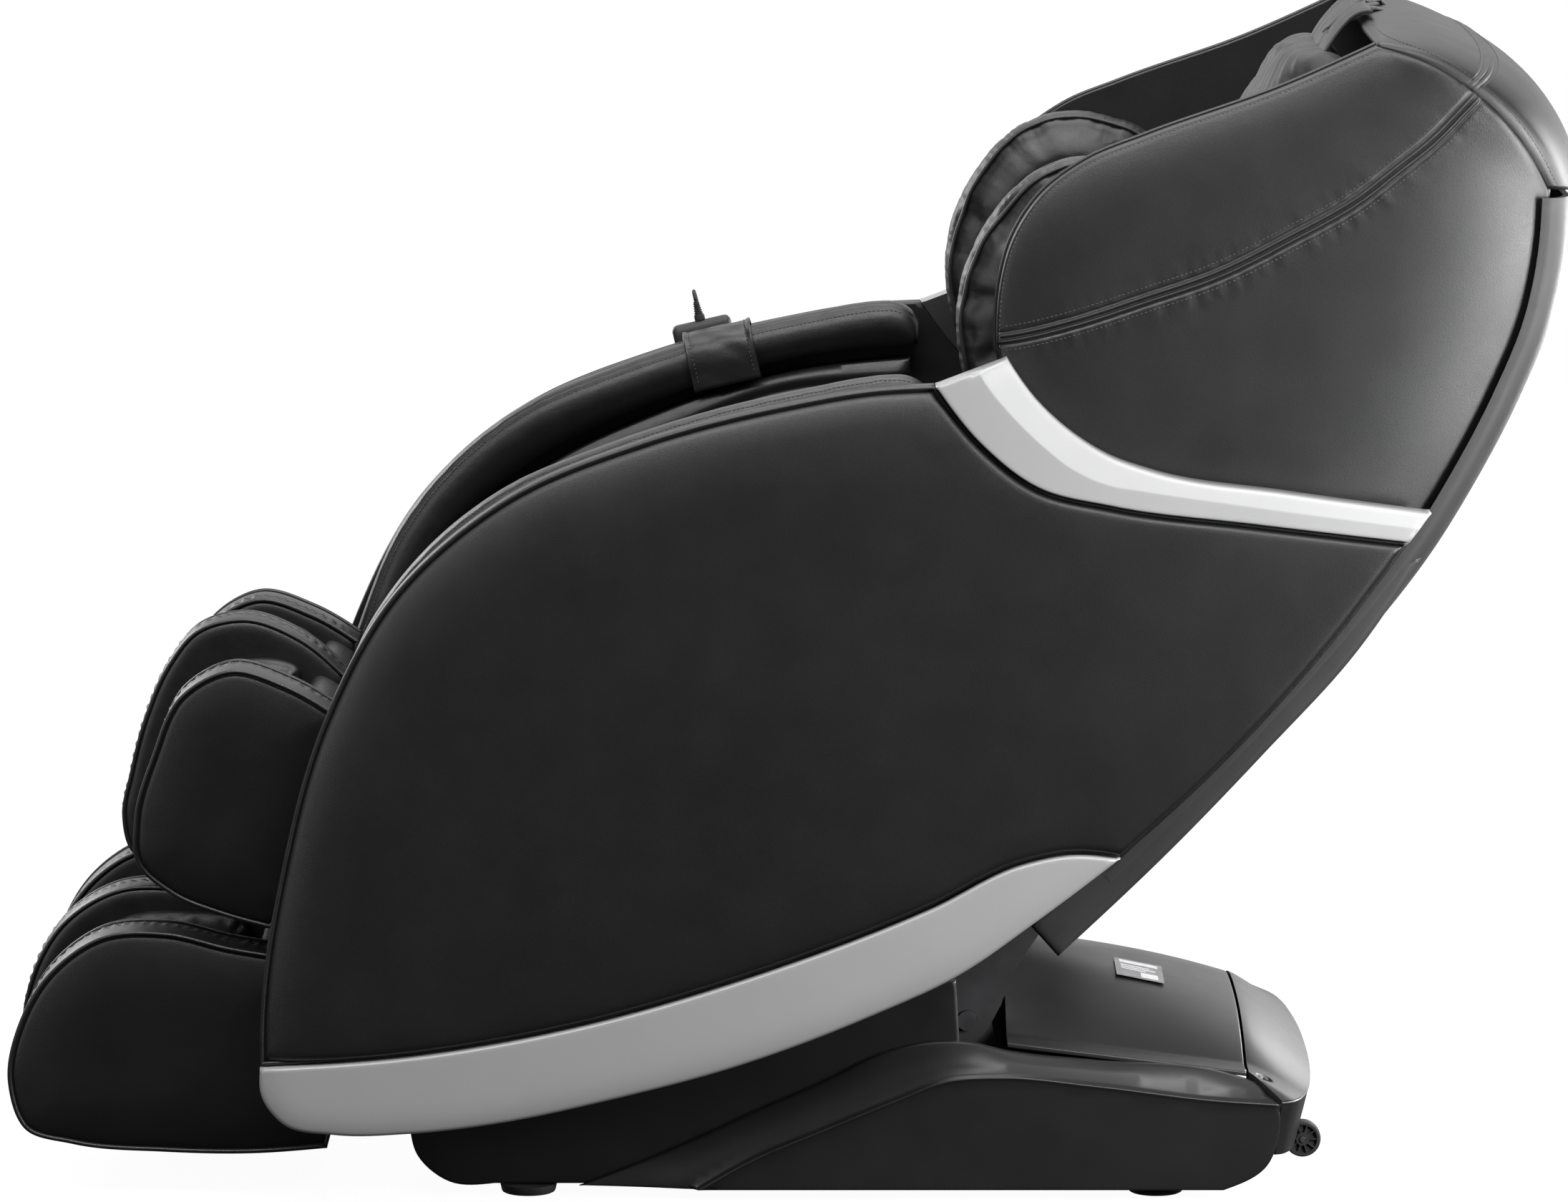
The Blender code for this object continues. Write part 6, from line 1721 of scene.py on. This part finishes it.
def remote_control():
    """The remote's case with its screen and button recesses, and its ribbed cord boot."""
    body = rounded_block("remote_case", (0.0318, 0.0092, 0.0749), 0.0065, 26, textured_plastic)
    holes = []
    for name, size, centre in (("screen_hole", (0.0478, 0.004, 0.0398), (0.0, 0.0096, 0.0430)),
                               ("button_hole", (0.0130, 0.0104, 0.0130), (0.0, 0.0092, 0.0110))):
        hole = rounded_block(name, tuple(v / 2 for v in size), 0.0012, 4, textured_plastic)
        moved(hole, lambda co, c=centre: co + np.array(c))
        holes.append(hole)
    cut(body, holes)
    body.data.shade_smooth()
    body.data.set_sharp_from_angle(angle=math.radians(40))
    moved(body, in_remote(0.075, REMOTE_Y))
    place(body, "remote", "base_plastic", ["remote_body"])
    up = np.array([-math.sin(ARM_SLOPE), 0.0, math.cos(ARM_SLOPE)])
    x, z = on_remote(-0.0003)
    profile = [(0.0, 0.0), (0.0056, 0.0), (0.0056, 0.0040), (0.0050, 0.0062), (0.0040, 0.0066)]
    for rib in range(5):
        low, wide = 0.0070 + rib * 0.0025, 0.0047 - rib * 0.00028
        profile += [(wide - 0.0009, low), (wide, low + 0.0004), (wide, low + 0.0012),
                    (wide - 0.0009, low + 0.0016)]
    profile += [(0.0028, 0.0200), (0.0023, 0.0205), (0.0, 0.0205)]
    boot = turned("remote_boot_cover", profile, (x, MID + REMOTE_Y, z), up, rubber, sides=32, sharp=40)
    place(boot, "remote", "black_rubber", ["remote_boot"])


def leather_strip(name, path, width, thickness, droop):
    """Doubled leather along a path of (out, up) places beside the remote's axis, and its seams' paths."""
    path = np.asarray(path, float)
    tangent = np.gradient(path, axis=0)
    tangent /= np.linalg.norm(tangent, axis=1)[:, None]
    normal = np.column_stack([-tangent[:, 1], tangent[:, 0]])
    share = np.linspace(-1.0, 1.0, 41)
    low, high = width
    middle, half = (low + high) / 2, (high - low) / 2
    s = arc_length(path)
    rings, edge_paths = [], {-1: [], 1: []}
    for k in range(len(path)):
        across = middle + half * share
        lip = thickness * (0.55 + 0.55 * np.exp(-((1 - np.abs(share)) * half / 0.0042) ** 4))
        seam = -0.0007 * np.exp(-(((1 - np.abs(share)) * half - 0.0062) / 0.0009) ** 2)
        wave = 0.0008 * ripple(s[k] + across * 0.7, 0.028, 71) * (1 - share ** 2) + droop * (1 - share ** 2)
        top = path[k] + normal[k] * (lip + seam + wave)[:, None]
        under = np.tile(path[k], (len(share), 1))
        ring = np.vstack([np.column_stack([across, top]), np.column_stack([across, under])[::-1]])
        rings.append(ring)
        for side in (-1, 1):
            at = middle + side * (half - 0.0062)
            edge_paths[side].append((at, *(path[k] + normal[k] * (thickness * 0.62)), *normal[k]))
    rings = np.array(rings)
    strip = loft(name, rings, soft_leather)
    return strip, edge_paths


def pouch():
    """Leather band over the armrest that ends outside the panel in a pocket for the remote."""
    place_it = in_remote(0.0, 0.0)
    over = run_through([(0.2974, -0.062), (0.2972, -0.046), (0.2974, -0.031), (0.3020, -0.0145),
                        (0.3150, -0.0070), (0.3330, -0.0060), (0.3600, -0.0075), (0.3810, -0.0150),
                        (0.3905, -0.034), (0.3914, -0.070), (0.3914, -0.100)], 0.004)
    band, rows = leather_strip("pouch_band", over, (-0.0195, 0.0530), 0.0030, 0.0004)
    moved(band, place_it)
    parts = [band]
    for side, row in rows.items():
        row = np.array(row)
        spots = place_it(row[:, :3])
        normal = place_it(np.column_stack([np.zeros(len(row)), row[:, 3:]])) - place_it(np.zeros((1, 3)))
        parts.append(stitches(f"pouch_row_{side:+d}", spots[2:-2], normal[2:-2], thread))
    pocket = trace([(-0.0350, -0.080, 0), (0.0350, -0.080, 0), (0.0350, -0.135), (0.0310, -0.1520),
                    (0.0, -0.1560), (-0.0310, -0.1520), (-0.0350, -0.135)], 0.004)
    if left_of(pocket, 0.002, closed=True)[:, 0].max() > pocket[:, 0].max():
        pocket = pocket[::-1]
    flat, tris, rim = fill_outline(left_of(pocket, 0.0006, closed=True), 0.008,
                                   insets=(0.0012, 0.003, 0.006, 0.010))
    d = away_from(flat, pocket, closed=True)[0]
    d[rim] = 0.0
    mouth = np.clip((flat[:, 1] + 0.156) / 0.07, 0.0, 1.0)
    face = 0.3990 + 0.0158 * roll(d * np.where(flat[:, 1] > -0.10, 4.0, 1.0), 0.010) + 0.0012 * mouth - 0.0010
    seam = -0.0008 * np.exp(-((d - 0.0062) / 0.0011) ** 2)
    n = len(flat)
    outer = np.column_stack([flat[:, 0], face + seam, flat[:, 1]])
    back = np.column_stack([flat[:, 0], np.full(n, 0.3925), flat[:, 1]])
    edge = np.array(rim)
    faces = tris.tolist() + (tris[:, ::-1] + n).tolist()
    faces += np.column_stack([edge, np.roll(edge, -1), np.roll(edge, -1) + n, edge + n]).tolist()
    shell = make("pouch_pocket", np.vstack([outer, back]), faces, soft_leather)
    inner = rounded_block("pocket_space", (0.0335, 0.0108, 0.0900), 0.004, 8, soft_leather)
    moved(inner, lambda co: co + np.array([0.0, 0.4038, -0.0610]))
    cut(shell, [inner])
    moved(shell, place_it)
    parts.append(shell)
    place(joined("pouch_cover", parts), "body_shell", "black_leather", ["remote_pouch"])
    x, z = CORD_KNOTS[-1][::2]
    gland = turned("gland_cover", [(0.0, 0.3945), (0.0026, 0.3945), (0.0032, 0.3940), (0.0060, 0.3925),
                                   (0.0069, 0.3910), (0.0069, 0.3886), (0.0, 0.3886)], (x, MID, z),
                   (0.0, 1.0, 0.0), rubber, sides=28)
    place(gland, "body_shell", "black_rubber", ["cord_gland"])


remote_control()
pouch()
remote_cord()
